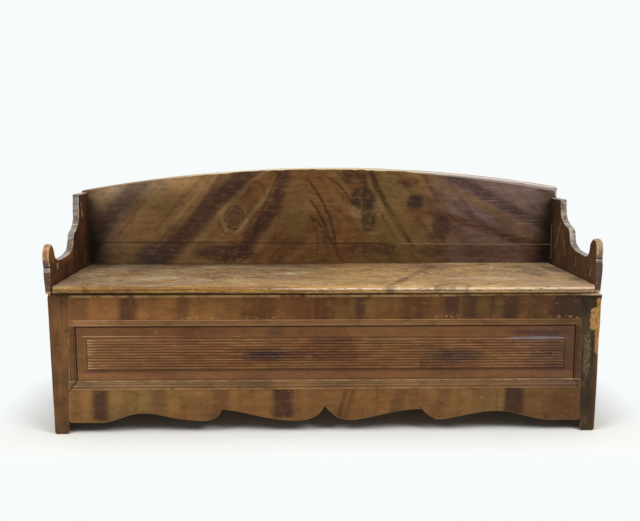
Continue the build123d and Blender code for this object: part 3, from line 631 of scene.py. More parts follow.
def rail_finish(name, tones, bands, heights, fades, darker, lighter, slant):
    """Brown ground with upright bands of glaze.

    Each band is drawn twice, once sharp and once broad and weak, as glaze pools in a stroke
    and thins beside it. heights are the rail's edges; between the two fades, which lie
    near its lower edge, the glaze runs out. The bands lean about the rail's middle, and by
    the slant more between the notch and the right-hand scallop. The right end is darker and
    the left one lighter, most at its lower edge, by the shares of those names.
    """
    finish, (x, _, z), lay, noise = new_finish(name)
    ground, redder, greener = tones
    waver = noise((10, 1, 5)) * 0.024 - 0.012
    steeper = x.between(-0.05, 0.08, 0.45, 0.6) * slant
    lean = (z - sum(heights) / 2) * (steeper + 0.05) * -1.0
    across = x + waver + lean
    tone = noise((2.6, 1, 2), 3, 0.55, (1, 0, 0))
    finish.colour = finish.mix(tone.step(0.4, 0.62), ground, redder)
    sunk = z.step(heights[1], heights[0]) * 0.6 + 0.4
    lay(x.step(-0.2, -0.55) * sunk * lighter, (170, 116, 66))
    centre = x.between(-0.15, 0.05, 0.25, 0.45)
    lay(centre * lighter * 0.5, (74, 44, 20))
    green = noise((4.4, 1, 3), 3, 0.55, (6, 0, 0))
    lay(green.step(0.5, 0.68) * 0.7, greener)
    hairs = noise((120, 2, 7), 4, 0.6, (0, 0, 6))
    pool = noise((30, 2, 12), 3, 0.55, (4, 0, 2))
    fade = (z + waver * 1.5).step(*fades)
    broad = finish.bands(across + (hairs - 0.5) * 0.012, bands, edge=0.022)
    lay(broad * fade * 0.35, redder)
    marks = finish.bands(across + (hairs - 0.5) * 0.01, bands, edge=0.008)
    lay(marks * fade * pool.step(0.2, 0.44) * 0.92, GLAZE)
    ripples = noise((34, 2, 2.5), 3, 0.55, (0, 0, 6)).step(0.45, 0.7)
    lay(ripples * 0.22, GLAZE)
    lay(hairs.step(0.5, 0.68) * 0.1, UMBER)
    lay(x.step(0.15, 0.8) * darker, (54, 38, 24))
    bump, worn = aged(finish, along=0, brushed=0.08, faded=0.12, chips=0.4)
    lip = (z - x.step(0.3, 0.6) * 0.004).step(FRONT_TOP - 0.012, FRONT_TOP - 0.006)
    lay(lip * worn.highest(pool.step(0.3, 0.6)) * 0.64, (204, 164, 108))
    # Painted shadow of the lid along the rail's top edge, strongest at the left.
    lid_shadow = z.step(FRONT_TOP - 0.0028, FRONT_TOP - 0.0008) * x.step(0.45, 0.2)
    lay(lid_shadow * 0.72, (36, 22, 12))
    cut_edge = finish.mark("edge").step(0.05, 0.5) * z.step(0.12, 0.1) * hairs.step(0.36, 0.5)
    lay(cut_edge * 0.5, (150, 130, 84))
    pale = noise((90, 2, 140), 4, 0.7, (3, 0, 1))
    patchy = noise((9, 1, 1), 2, 0.55, (5, 0, 0)).step(0.5, 0.6)
    low_line = z.near(rail_low.z + 0.005, 0.01, 0.002) * pale.step(0.54, 0.6) * patchy
    lay(low_line * 0.55, (190, 152, 100))
    paint_shade_under_lid(finish, 0.002)
    return finish.surface(0.46 + worn * 0.25, bump, height=0.0008, specular=0.12)


TOP_RAIL_FINISH = rail_finish("grained_top_rail", TOP_RAIL_TONES, TOP_RAIL_BANDS,
                              (rail_low.z, rail_high.z), (0.20, 0.21),
                              darker=0.55, lighter=0.45, slant=0.0)
APRON_FINISH = rail_finish("grained_apron", APRON_TONES, APRON_BANDS,
                           (apron_low.z, apron_high.z), (0.040, 0.054),
                           darker=0.42, lighter=0.0, slant=0.24)
print("rail bands:", len(TOP_RAIL_BANDS), len(APRON_BANDS))

# %% [markdown]
# The mouldings, the panel and the stiles follow the same recipe with their own colours. The
# hollows of the mouldings hold dirt and painted shade, and their ridges are rubbed and carry
# painted highlights; on the panel it is the grooves and the crests of the reeds. Height is
# simply the distance behind the face of the frame, so one step on y finds ridges and hollows.

# %% Panel, moulding and stile finishes
# Sight opening inside the mouldings: its left, right, lower and upper edges. The mitres at
# its lower corners run out to the height and the places of the mouldings' outer corners.
SIGHT = (-0.8098, 0.8238, 0.178, 0.359)
MITRE_FOOT = 0.148
MITRE_ENDS = (-0.8300, 0.8370)


def moulding_finish():
    """Rail colour; ridges rubbed and with painted highlights, hollows with dirt and painted shade, a
    painted shadow in the inner crease, and open mitres at the lower corners.
    """
    finish, (x, y, z), lay, noise = new_finish("grained_moulding")
    left, right, low, high = SIGHT
    depth = y - FRONT
    tone = noise((7, 1, 1), 4, 0.55, (3, 0, 0))
    finish.colour = finish.mix(tone.step(0.4, 0.62), (126, 90, 50), (108, 74, 42))
    below = z.step(low + 0.001, low - 0.001)
    far_right = x.step(0.35, 0.8)
    lay(below * (0.4 - x.step(-0.55, -0.35) * 0.28), (138, 106, 68))
    above = z.step(high - 0.001, high + 0.001)
    lay(above * (0.75 - far_right * 0.35), (152, 108, 68))
    near_left = x.between(-0.825, -0.805, -0.72, -0.62)
    lay(above * near_left * 0.75, (176, 128, 84))
    lay(far_right * (0.7 - above * 0.3), (88, 60, 44))
    # Cove: a little grime everywhere, and painted shade in it on the lower moulding.
    cove = depth.between(0.0034, 0.0052, 0.0058, 0.0066)
    lay(cove * (below * 0.45 + 0.1), GRIME_AND_SHADE)
    lay(depth.near(0.0006, 0.0009, 0.0003) * 0.3, UMBER)
    rub = noise((24, 60, 40), 5, 0.75).step(0.4, 0.6)
    # Painted highlight on the lower moulding's inner top edge, broken up by rubbing.
    lit_ledge = below * z.step(low - 0.006, low - 0.003)
    lay(lit_ledge * (rub * 0.5 + 0.25), (172, 144, 104))
    # Painted shadow in the inner crease, fainter on the upper moulding.
    crease_shadow = depth.step(0.0065, 0.0071) * (1 - below)
    lay(crease_shadow * (0.75 - above * 0.6), (44, 26, 14))
    # Ridges and the upper bead: lighter from rubbing and from painted highlight.
    ridge = depth.step(0.0, -0.0012) * (1 - far_right * 0.6)
    lay(ridge * (0.06 + rub * 0.42), CHIP_AND_HIGHLIGHT)
    bead = depth.near(0.0046, 0.001, 0.0004) * above
    lay(bead * (0.12 + rub * 0.3), CHIP_AND_HIGHLIGHT)
    for corner, outer in zip((left, right), MITRE_ENDS):
        lay(finish.seam(x, z, (outer, MITRE_FOOT), (corner, low), 0.0022) * 0.9, SOOT_AND_SHADE)
    bump, worn = aged(finish, along=0, brushed=0.1, faded=0.12)
    return finish.surface(0.42 + worn * 0.2, bump, height=0.0005, specular=0.18)


# Glaze blots on the panel: (x, z) centre, half length and half height, strength, colour.
PANEL_BLOTS = (
    ((-0.17, 0.266), (0.17, 0.025), 0.60, (72, 40, 26)),
    ((-0.19, 0.262), (0.07, 0.021), 0.75, (46, 28, 28)),
    ((0.02, 0.262), (0.12, 0.024), 0.55, (86, 42, 22)),
    ((0.05, 0.308), (0.09, 0.012), 0.50, (90, 48, 26)),
    ((-0.165, 0.338), (0.030, 0.016), 0.45, (70, 52, 42)),
    ((-0.742, 0.208), (0.042, 0.006), 0.60, (74, 46, 50)),
    ((0.43, 0.254), (0.10, 0.023), 0.80, (56, 36, 32)),
    ((0.62, 0.285), (0.15, 0.025), 0.45, (98, 54, 40)),
    ((0.70, 0.333), (0.10, 0.010), 0.80, (48, 36, 34)),
)


def panel_finish():
    """Olive and reddish brown in long clouds, dark blots, rubbed crests, painted highlights, sheen and
    shadow.
    """
    finish, (x, y, z), lay, noise = new_finish("grained_panel")
    clouds = noise((3.2, 1, 12), 4)
    finish.colour = finish.mix(clouds.step(0.4, 0.6), (116, 78, 40), (110, 67, 36))
    dull = noise((4, 1, 18), 4, 0.55, (6, 0, 2))
    lay(dull.step(0.5, 0.64) * 0.4, (100, 68, 42))
    ragged = noise((12, 1, 60), 4, 0.65, (4, 0, 3)) - 0.5
    for centre, radii, strength, tone in PANEL_BLOTS:
        blot = finish.away(centre, radii, ragged * 0.03).step(1.4, 0.4)
        lay(blot * strength, tone)
    field_left = x.step(-0.792, -0.786)
    raised = z.between(0.206, 0.21, 0.323, 0.327) * x.step(-0.785, -0.778)
    lay(x.step(-0.3, -0.6) * raised * 0.3, (140, 96, 58))
    # Painted light: the lower border lighter at the left, where it faces down and renders darker.
    lay(z.step(0.204, 0.199) * x.step(-0.48, -0.58) * 0.4, (150, 102, 62))
    lay(z.step(0.324, 0.33) * x.step(-0.1, -0.3) * 0.35, (96, 60, 40))
    lay(x.step(0.52, 0.78) * 0.58, (80, 54, 42))
    # Grooves between the reeds darker: dirt and painted shade.
    hollow = y.step(PANEL_FACE + 0.0012, PANEL_FACE + 0.0026)
    field = z.between(0.2085, 0.21, 0.322, 0.3235) * x.between(-0.778, -0.776, 0.79, 0.792)
    lay(hollow * field * 0.42, GRIME_AND_SHADE)
    lay(z.step(0.209, 0.2) * 0.35, (132, 90, 58))
    # Crests lighter: rubbed wood, and painted highlight at the ends of the reeds.
    crest = y.step(PANEL_FACE + 0.0007, PANEL_FACE)
    rub = noise((12, 40, 110), 5, 0.75)
    ends = x.step(-0.74, -0.776) + x.step(0.75, 0.79) * 0.5
    bare = rub.step(0.44, 0.6) * 0.4 + ends * rub.step(0.4, 0.52) * 0.35
    lay(crest * bare, (172, 134, 86))
    # Painted highlights on the left ends of the reeds.
    tip_highlights = crest * x.step(-0.735, -0.772) * rub.step(0.44, 0.52)
    lay(tip_highlights * 0.5, (204, 172, 132))
    # Painted highlight along the top bevel of the field, at the left.
    bevel_highlight = z.between(0.3226, 0.3236, 0.3254, 0.3266) * x.step(-0.45, -0.7)
    lay(bevel_highlight * field_left * 0.55, (186, 150, 112))
    sheen = finish.spot((0.7, 0.315), (0.1, 0.005), ragged * 0.004)
    lay(sheen * 0.6, (132, 120, 124))
    left, right, low, high = SIGHT
    # Painted shadow of the mouldings on the panel: a dark band round its edge inside the sight.
    inner = x.between(left + 0.002, left + 0.0045, right - 0.004, right - 0.0015)
    inner = inner * z.between(low + 0.0004, low + 0.0016, high - 0.007, high - 0.0035)
    bump, worn = aged(finish, along=0, brushed=0.1, faded=0.08, chips=0.5)
    lay((1 - inner) * 0.9, (40, 24, 14))
    return finish.surface(0.42 + worn * 0.2, bump, height=0.0005, specular=0.16)


def stile_finish():
    """Brown stiles: dark dents at the left, olive and rubbed to bare wood at the right."""
    finish, (x, y, z), lay, noise = new_finish("grained_stile")
    right = x.step(-0.2, 0.2)
    clouds = noise((14, 1, 6), 4, 0.6).step(0.38, 0.62)
    left_tone = finish.mix(clouds, (120, 82, 48), (106, 70, 42))
    right_tone = finish.mix(clouds, (76, 58, 38), (50, 40, 27))
    finish.colour = finish.mix(right, left_tone, right_tone)
    hairs = noise((150, 2, 8), 4, 0.55, (0, 0, 6)).step(0.46, 0.66)
    lay(hairs * 0.1, UMBER)
    top = z.step(FRONT_TOP - 0.09, FRONT_TOP - 0.02)
    lay(top * 0.45, UMBER)
    lay(top * right * 0.5, SOOT_AND_SHADE)
    low_left = (1 - right) * z.between(0.145, 0.175, 0.205, 0.232)
    lay(low_left * 0.45, (62, 54, 34))
    lay(z.step(0.09, 0.015) * 0.65, (66, 54, 36))
    fray = noise((110, 30, 60), 6, 0.82, (1, 3, 0)) - 0.5
    height = z + fray * 0.03
    strip_edge = (height.step(0.41, 0.42) * 0.019 - height.step(0.338, 0.348) * 0.017
                  - height.step(0.24, 0.275) * 0.017 + 0.901)
    strip = (x + fray * 0.04 - strip_edge).step(-0.001, 0.001)
    tall = (z + fray * 0.06).between(0.13, 0.2, 0.44, 0.452)
    strip = strip * tall * right * y.step(FRONT + 0.024, FRONT + 0.012)
    bare = finish.mix(fray.step(-0.1, 0.12), (196, 152, 92), (150, 104, 56))
    lay(strip * 0.92, bare)
    flakes = noise((210, 60, 90), 4, 0.7, (0, 2, 3))
    near_edge = (x - strip_edge).step(0.022, 0.0)
    lay(strip * flakes.step(0.52, 0.6) * (0.55 + near_edge * 0.4), (72, 44, 20))
    red_edge = right * (x + fray * 0.01).step(0.89, 0.894) * z.step(0.27, 0.24)
    lay(red_edge * 0.6, (108, 62, 42))
    scuff = finish.spot((0.862, 0.258), (0.012, 0.08), fray * 0.02)
    grit = noise((230, 60, 120), 4, 0.75).step(0.47, 0.58)
    lay(scuff * (0.15 + grit * 0.5), (132, 116, 92))
    bump, worn = aged(finish, along=2, brushed=0.15, faded=0.12)
    cap = right * z.step(FRONT_TOP - 0.0075, FRONT_TOP - 0.004)
    lay(cap * fray.step(-0.2, -0.02) * 0.85, (196, 172, 136))
    paint_shade_under_lid(finish, 0.004)
    bump = bump - strip * 0.8 + scuff * grit * 0.4
    return finish.surface(0.48 + worn * 0.25, bump, height=0.0009, specular=0.12)


MOULDING_FINISH = moulding_finish()
PANEL_FINISH = panel_finish()
STILE_FINISH = stile_finish()
print("front finishes ready")

# %% [markdown]
# ## Ends and seat
#
# The ends are a plain dark red-brown, scratched by belts and buttons. Their front edges have
# lost nearly all paint and gone grey. The two ends differ in tone and in the height of the
# bead under the knob, so each has its own finish. The seat has been sat and scrubbed down to
# the wood, which is streaked with grey and with old spills.

# %% End finishes
# For each side: the bead under the knob, its low and high edge above the seat.
BEADS = {-1: (0.041, 0.057), 1: (0.071, 0.082)}

# For each side: light and dark paint, the knob in light and in shade, pale and dim grey of
# the wing's edge, and the block under the bead.
END_TONES = {
    -1: ((92, 54, 34), (58, 34, 22), (154, 104, 68), (104, 74, 58), (158, 148, 138), (128, 120, 120),
         (88, 60, 46)),
    1: ((94, 66, 44), (60, 42, 28), (150, 128, 104), (112, 90, 72), (158, 150, 144), (122, 114, 112),
        (76, 54, 46)),
}

# For each side: scratches on the inner face, (y, rise) of their lower and upper ends.
SCRATCHES = {
    -1: (((0.150, 0.188), (0.164, 0.212)), ((0.166, 0.204), (0.152, 0.240)),
         ((0.176, 0.176), (0.170, 0.204)), ((-0.172, 0.040), (-0.186, 0.064)),
         ((-0.171, 0.046), (-0.158, 0.064))),
    1: (((0.190, 0.060), (0.130, 0.165)), ((0.232, 0.020), (0.238, 0.150)),
        ((0.060, 0.050), (0.085, 0.110)), ((-0.060, 0.030), (-0.052, 0.062)),
        ((-0.205, 0.018), (-0.214, 0.050))),
}


def end_finish(side):
    """Dark red-brown paint; edges grey on the wing, tan on the knob, dark round the bead."""
    name = "left" if side < 0 else "right"
    finish, (x, y, z), lay, noise = new_finish(f"painted_end_{name}")
    rise = z - SEAT
    light, dark, bronze, shaded, pale, dim, block = END_TONES[side]
    clouds = noise((6, 8, 4), 4, 0.6)
    finish.colour = finish.mix(clouds.step(0.36, 0.62), light, dark)
    fine = noise((8, 64, 7), 5, 0.65)
    lay(fine.step(0.5, 0.66) * 0.25, (118, 78, 48))
    lay(fine.step(0.46, 0.34) * 0.3, (36, 22, 15))
    dip = rise.step(0.035, 0.07) * y.step(0.05, -0.02)
    lay(dip * clouds.step(0.44, 0.56) * 0.8, (150, 92, 44))
    lay(y.step(BACK - 0.09, BACK - 0.005) * 0.5, SOOT_AND_SHADE)
    low_bead, high_bead = BEADS[side]
    on_knob = rise.step(high_bead - 0.001, high_bead + 0.001) * y.step(-0.16, -0.195)
    knob = finish.mix(rise.step(high_bead + 0.045, high_bead + 0.006), bronze, shaded)
    patch = noise((20, 24, 24), 5, 0.7, (0, 7 + side, 0))
    grey = finish.mix(patch.step(0.42, 0.54), pale, dim)
    edge_colour = finish.mix(on_knob, grey, knob)
    below = rise.step(low_bead + 0.001, low_bead - 0.001) * y.step(-0.235, -0.25)
    edge_colour = finish.mix(below * 0.95, edge_colour, block)
    bump, worn = aged(finish, along=2, edge_colour=edge_colour, brushed=0.26)
    arris = finish.mark("edge").step(0.1, 0.6)
    above = rise.step(-0.06, -0.03)
    rim = finish.mark("rim") * above
    lay(rim * patch.step(0.3, 0.4) * 0.94, edge_colour)
    blots = noise((16, 15, 17), 4, 0.62, (3, side, 1))
    grain = noise((60, 130, 130), 4, 0.7, (1, side, 4))
    lay(rim * y.step(-0.175, -0.15) * blots.step(0.5, 0.56) * 0.75, (84, 62, 50))
    lay(rim * grain.step(0.52, 0.62) * 0.4, (62, 46, 38))
    lay(rim * grain.step(0.44, 0.36) * 0.25, (206, 198, 184))
    line = arris * (1 - below) * above * grain.step(0.62, 0.46)
    lay(line * 0.65, (198, 176, 132))
    notch = (rise.near(high_bead + 0.0015, 0.003, 0.0012)
             + rise.near(low_bead - 0.001, 0.0018, 0.0008) * 0.7
             + rise.near((low_bead + high_bead) / 2, 0.0012, 0.0005) * 0.3)
    lay(notch * y.step(-0.228, -0.24) * 0.92, SOOT_AND_SHADE)
    inner_x = min(abs(corner.x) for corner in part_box(f"end_board_{name}"))
    inside = abs(x).step(inner_x + 0.004, inner_x + 0.002)
    broken = grain.step(0.64, 0.5) * inside * (0.75 - side * 0.2)
    for low, high in SCRATCHES[side]:
        cut = finish.seam(y + (grain - 0.5) * 0.02, rise, low, high, 0.0028)
        lay(cut * broken, (196, 174, 142))
    foot = rise.between(-0.034, -0.03, -0.024, -0.016) * y.step(-0.225, -0.25)
    lay(foot * patch.step(0.38, 0.5) * 0.8, (196, 152, 88))
    return finish.surface(0.5 + worn * 0.2, bump, height=0.0008, specular=0.15)


# %% [markdown]
# The seat is laid in the order in which it aged: wood, stains, fine marks, the darker strip at
# the back and on the left, which is painted shade from the back board, the nose, and the cuts
# over all of it.

# %% Seat finish
# Stains on the seat: (x, y) centre, half length and half depth, strength, colour.
LID_STAINS = (
    ((-0.83, 0.17), (0.07, 0.06), 0.72, (100, 82, 62)),
    ((-0.72, 0.18), (0.06, 0.03), 0.72, (152, 140, 110)),
    ((-0.66, 0.11), (0.05, 0.06), 0.87, (104, 78, 56)),
    ((-0.56, -0.12), (0.08, 0.04), 0.58, (178, 158, 124)),
    ((-0.49, 0.12), (0.06, 0.05), 0.87, (110, 80, 56)),
    ((-0.36, 0.16), (0.09, 0.03), 0.65, (190, 160, 120)),
    ((-0.18, 0.15), (0.06, 0.03), 0.72, (138, 110, 88)),
    ((-0.11, 0.00), (0.06, 0.03), 0.45, (196, 170, 130)),
    ((0.04, 0.17), (0.07, 0.04), 0.65, (140, 96, 58)),
    ((0.20, 0.17), (0.10, 0.04), 0.58, (146, 108, 70)),
    ((0.42, 0.16), (0.09, 0.04), 0.80, (124, 94, 76)),
    ((0.54, -0.13), (0.12, 0.04), 0.58, (196, 168, 130)),
    ((0.70, 0.14), (0.06, 0.04), 0.72, (130, 104, 76)),
    ((0.75, 0.04), (0.035, 0.12), 0.87, (112, 88, 70)),
    ((0.84, 0.08), (0.03, 0.06), 0.80, (100, 78, 62)),
)

# Light scratches on the seat: (x, y) of both ends, the front one first.
LID_SCRATCHES = (
    ((-0.430, 0.125), (-0.360, 0.150)), ((-0.130, -0.020), (-0.070, 0.020)),
    ((-0.100, -0.030), (-0.125, 0.012)), ((0.615, 0.100), (0.642, 0.165)),
    ((-0.620, 0.160), (-0.590, 0.190)), ((0.300, -0.050), (0.360, -0.030)),
)


def seat_finish():
    """Scrubbed boards: tan wood with grey streaks, spills and a golden front edge.

    The top is mottled rather than streaked: pale and dark patches a hand wide, with smaller
    ones inside them. Behind the joint of the two boards the left half is darker, with painted
    shade deepening towards the back board. The nose has lines along it: a painted highlight at
    the arris, dark in the quirk, painted shade along its lower edge; they sag at the right.
    """
    finish, (x, y, z), lay, noise = new_finish("worn_seat")
    long = noise((4, 40, 60), 4)
    broad = noise((6.5, 8.5, 7), 5, 0.62, (1, 0, 0))
    finish.colour = finish.mix(long.step(0.34, 0.66), (170, 133, 80), (150, 113, 66))
    lay(broad.step(0.46, 0.6) * 0.7, (118, 88, 58))
    lay(broad.step(0.44, 0.34) * 0.4, (196, 164, 116))
    lay(x.step(0.16, -0.16) * 0.56, (108, 86, 58))
    lay(x.step(-0.66, -0.8) * 0.22, (104, 86, 56))
    lay(x.step(0.5, 0.85) * 0.3, (134, 108, 88))
    hem = y.step(lid_low.y + 0.2, lid_low.y + 0.08) * x.between(-0.75, -0.3, -0.02, 0.12)
    lay(hem * 0.34, (204, 162, 104))
    lay(x.between(0.08, 0.2, 0.32, 0.45) * 0.25, (208, 164, 110))
    lay(x.step(0.2, 0.8) * 0.3, (196, 166, 126))
    mottle = noise((19, 24, 22), 8, 0.8, (5, 0, 2))
    ragged_x = x + (mottle - 0.5) * 0.12
    ragged_y = y + (broad - 0.5) * 0.12
    for (at_x, at_y), (half_x, half_y), strength, tone in LID_STAINS:
        across = (ragged_x - at_x) * (1 / half_x)
        deep = (ragged_y - at_y) * (1 / half_y)
        lay((across * across + deep * deep).step(1.9, 0.5) * strength, tone)
    lay(mottle.step(0.51, 0.6) * 0.42, (92, 68, 46))
    lay(mottle.step(0.46, 0.37) * 0.34, (206, 180, 138))
    speck = noise((70, 90, 70), 5, 0.75, (2, 7, 0))
    lay(speck.step(0.5, 0.6) * 0.38, (84, 62, 42))
    lay(speck.step(0.46, 0.38) * 0.3, (214, 192, 152))
    lilac = noise((7, 8, 9), 4, 0.6, (3, 6, 0)).step(0.5, 0.62)
    lay(lilac * 0.26, (134, 112, 98))
    grey = noise((9, 12, 26), 4, 0.55, (5, 2, 0)).step(0.5, 0.66)
    lay(grey * (0.14 + x.step(0.1, -0.5) * 0.34), (154, 143, 116))
    fibre = noise((9, 300, 300), 3, 0.6).step(0.44, 0.66)
    lay(fibre * 0.25, (80, 58, 38))
    from_joint = y - lid_high.y
    # Painted shade: darker behind the joint and towards the back board, mostly on the left.
    rear_shade = (from_joint.step(0.05, 0.2) * (x.step(0.15, -0.1) * 0.36 + 0.1)
                + from_joint.step(-0.05, 0.02) * 0.13 + from_joint.step(0.18, 0.22) * 0.4)
    lay(rear_shade * x.step(0.48, 0.36), (52, 36, 20))
    nose = y.step(lid_low.y + 0.007, lid_low.y + 0.002)
    gold = finish.mix(long.step(0.4, 0.6), (176, 130, 58), (130, 86, 28))
    gold = finish.mix(x.step(-0.25, 0.35) * 0.5, gold, (176, 146, 110))
    gold = finish.mix(x.step(0.5, 0.8) * 0.45, gold, (146, 120, 94))
    lay(nose * 0.9, gold)
    lay(nose * x.step(0.0, -0.6) * 0.25, (96, 62, 18))
    nicks = noise((46, 30, 200), 4, 0.7, (1, 3, 0))
    level = SEAT - z + (nicks - 0.5) * 0.003 - 0.0028
    sag = x.step(-0.5, 0.0) * 0.0028
    down = level - sag
    # Painted highlight along the arris of the nose, faint at the left.
    highlight_strength = x.step(-0.32, 0.08) * 0.82 + 0.05
    arris = down.between(0.0005, 0.0025, 0.0055, 0.008) * nicks.step(0.66, 0.5)
    lay(arris * nose * highlight_strength, (238, 222, 198))
    quirk = down.near(0.0118, 0.0026, 0.0008) * nicks.step(0.4, 0.5)
    lay(quirk * nose * 0.62, (70, 46, 22))
    bead = down.near(0.0166, 0.0026, 0.0008) * nicks.step(0.58, 0.46)
    lay(bead * nose * 0.5, (206, 166, 110))
    lay(nicks.step(0.6, 0.68) * nose * 0.6, (54, 36, 22))
    scratch = noise((12, 40, 20), 2, 0.55, (9, 4, 0), distortion=1.8)
    long_cut = scratch.near(0.5, 0.007, 0.002) * broad.step(0.53, 0.46) * mottle.step(0.54, 0.44)
    lay(long_cut * 0.75, (222, 208, 180))
    for first, second in LID_SCRATCHES:
        cut = finish.seam(x + (mottle - 0.5) * 0.02, y, first, second, 0.0032)
        lay(cut * speck.step(0.6, 0.5) * 0.75, (222, 208, 180))
    stain = noise((8, 12, 5), 5, 0.65, (2, 8, 3), distortion=0.8)
    lay(stain.step(0.57, 0.66) * 0.65, (74, 54, 40))
    slant = (x - y * 0.45).near(0.335, 0.026, 0.006) * mottle.step(0.34, 0.5)
    lay(slant * y.step(0.24, 0.1) * 0.65, (84, 62, 48))
    # Painted shade along the seat's back edge, under the back board.
    back_edge_shade = y.step(lid_high.y + 0.215, lid_high.y + 0.238)
    lay(back_edge_shade * broad.step(0.4, 0.55) * 0.5, (60, 44, 32))
    # Painted shade: the nose's lower edge near black, standing in for the shadowed gap under the lid.
    belly = (level - sag * 1.2).step(0.016, 0.0178)
    lay(belly * nose * 0.96, (12, 8, 5))
    under = z.step(lid_low.z + 0.003, lid_low.z + 0.0012) * y.step(lid_low.y + 0.008, lid_low.y + 0.014)
    lay(under, finish.mix(long.step(0.36, 0.64), (156, 122, 84), (132, 98, 64)))
    bump = long * 0.4 + fibre * 0.35 + mottle * 0.7 - stain * 0.3
    gloss = 0.58 - broad.step(0.55, 0.35) * 0.16
    return finish.surface(gloss, bump, height=0.0009, specular=0.15)


END_FINISH = {side: end_finish(side) for side in (-1, 1)}
SEAT_FINISH = seat_finish()
print("end and seat finishes ready")

# %% [markdown]
# Inside, nothing was ever painted: the slats and bearers are bare pine, aged brown. The
# pegs show dark end grain, and the nails are hand-cut iron with rust in spots.

# %% Inside finishes
def inside_finish(name, along):
    """Unpainted aged pine with its grain along one axis."""
    finish = Finish(name)
    grain = finish.noise(along_grain(60, 5, along), 4, 0.6).step(0.35, 0.65)
    broad = finish.noise((5, 3, 5), 2).step(0.35, 0.65)
    finish.colour = finish.mix(grain, (158, 120, 78), (126, 90, 56))
    finish.lay(broad * 0.4, (104, 76, 50))
    knots = finish.noise((9, 9, 9), 1, 0.55, (4, 4, 4)).step(0.7, 0.75)
    finish.lay(knots * 0.6, (92, 58, 34))
    return finish.surface(0.7, grain + knots, height=0.0006, specular=0.25)


def speckled_finish(name, detail, rarity, tones, roughness, height, metallic=0.0):
    """Two tones in fine specks: the end grain of pegs, or iron with rust in spots."""
    finish = Finish(name)
    specks = finish.noise((300, 300, 300), detail).step(rarity, 0.6)
    finish.colour = finish.mix(specks, *tones)
    finish.shader.inputs["Metallic"].default_value = metallic
    return finish.surface(roughness, specks, height)


SLAT_FINISH = inside_finish("bare_pine", along=1)
LONG_FINISH = inside_finish("bare_pine_long", along=0)
PIN_FINISH = speckled_finish("wood_pins", 3, 0.40, ((104, 72, 46), (70, 48, 32)), 0.60, 0.0004)
IRON_FINISH = speckled_finish("iron", 4, 0.42, ((52, 46, 42), (98, 58, 38)), 0.55, 0.0003, metallic=0.6)
print("all finishes ready")

# %% [markdown]
# ## Boards with worn edges
#
# A sawn board has hard edges; a board that people have leaned on for a century doesn't. The
# outline of each board is read from the frame, so the new board is where the old one is.
# Then a rounded edge is carried round that outline: at every point of it, a quarter circle
# leads from the face to the side and another to the far face. Its radius wanders, grows
# where hands rub, and shrinks in tight corners so the edge never folds over itself.

# %% Outlines from the frame
STEP = 0.002
FLAT = 2e-5


def face_outline(node, axis, place):
    """Longest loop round the flat face of a node that lies at a place on an axis."""
    work = bmesh.new()
    work.from_mesh(nodes[node].data)
    bmesh.ops.remove_doubles(work, verts=work.verts, dist=1e-6)
    flat = {f for f in work.faces if all(abs(v.co[axis] - place) < FLAT for v in f.verts)}
    rim = [e for e in work.edges if sum(f in flat for f in e.link_faces) == 1]
    ways = {}
    for edge in rim:
        for vert, other in (edge.verts, reversed(edge.verts)):
            ways.setdefault(vert.index, []).append(other.index)
    places = {v.index: v.co.copy() for v in work.verts}
    loops = []
    while ways:
        start = next(iter(ways))
        loop, here, before = [start], start, None
        while True:
            options = [v for v in ways.get(here, []) if v != before]
            if not options or options[0] == start:
                break
            before, here = here, options[0]
            loop.append(here)
        for vert in loop:
            ways.pop(vert, None)
        loops.append(np.array([places[v] for v in loop]))
    work.free()
    keep = [i for i in range(3) if i != axis]
    lengths = [np.linalg.norm(np.diff(loop, axis=0), axis=1).sum() for loop in loops]
    return loops[int(np.argmax(lengths))][:, keep]


def evenly(outline):
    """Points a step apart round a closed outline, by linear interpolation of arc length."""
    closed = np.vstack([outline, outline[:1]])
    travel = np.concatenate([[0], np.cumsum(np.linalg.norm(np.diff(closed, axis=0), axis=1))])
    count = int(round(travel[-1] / STEP))
    at = np.linspace(0, travel[-1], count, endpoint=False)
    return np.stack([np.interp(at, travel, closed[:, i]) for i in range(2)], axis=1)


def smoothed(values, spread):
    """Circular Gaussian blur of rows of values, spread in points, by Fourier transform."""
    count = len(values)
    wave = np.fft.fftfreq(count)
    damp = np.exp(-2 * (math.pi * wave * spread) ** 2)
    shaped = damp[:, None] if values.ndim > 1 else damp
    return np.real(np.fft.ifft(np.fft.fft(values, axis=0) * shaped, axis=0))


def wander(count, seed, spread):
    """Smooth random values round a loop, about -1 to 1: blurred seeded noise."""
    soft = smoothed(np.random.default_rng(seed).standard_normal(count), spread)
    return soft / np.abs(soft).max()


def ramped(values, start, end):
    """0 up to start, 1 from end on, straight between; end may be the smaller."""
    return np.clip((values - start) / (end - start), 0, 1)


print("outline of an end board:", len(face_outline("end_board_left", 0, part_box("end_board_left")[1].x)))

# %% [markdown]
# The rounded edge itself. `turn` is how sharply the outline bends outwards at each point;
# where it bends tightly the edge's radius is held below the bend's own radius.

# %% Worn board
ROUND_STEPS = 5
LEAST_ROUNDING = 0.0004
MOST_OF_THICKNESS = 0.45
MOST_OF_BEND = 0.75
# How much the radius wanders, and over how many points of the outline.
LONG_WAVES = (0.35, 12)
SHORT_WAVES = (0.30, 3)


def make_mesh(name, points, faces, attributes):
    """Mesh object from points and faces, with float attributes on its points."""
    mesh = bpy.data.meshes.new(name)
    mesh.from_pydata(points.tolist(), [], faces)
    for key, values in attributes.items():
        layer = mesh.attributes.new(key, "FLOAT", "POINT")
        layer.data.foreach_set("value", np.asarray(values, np.float32).ravel())
    work = bmesh.new()
    work.from_mesh(mesh)
    bmesh.ops.recalc_face_normals(work, faces=work.faces)
    work.to_mesh(mesh)
    work.free()
    return put(name, mesh)


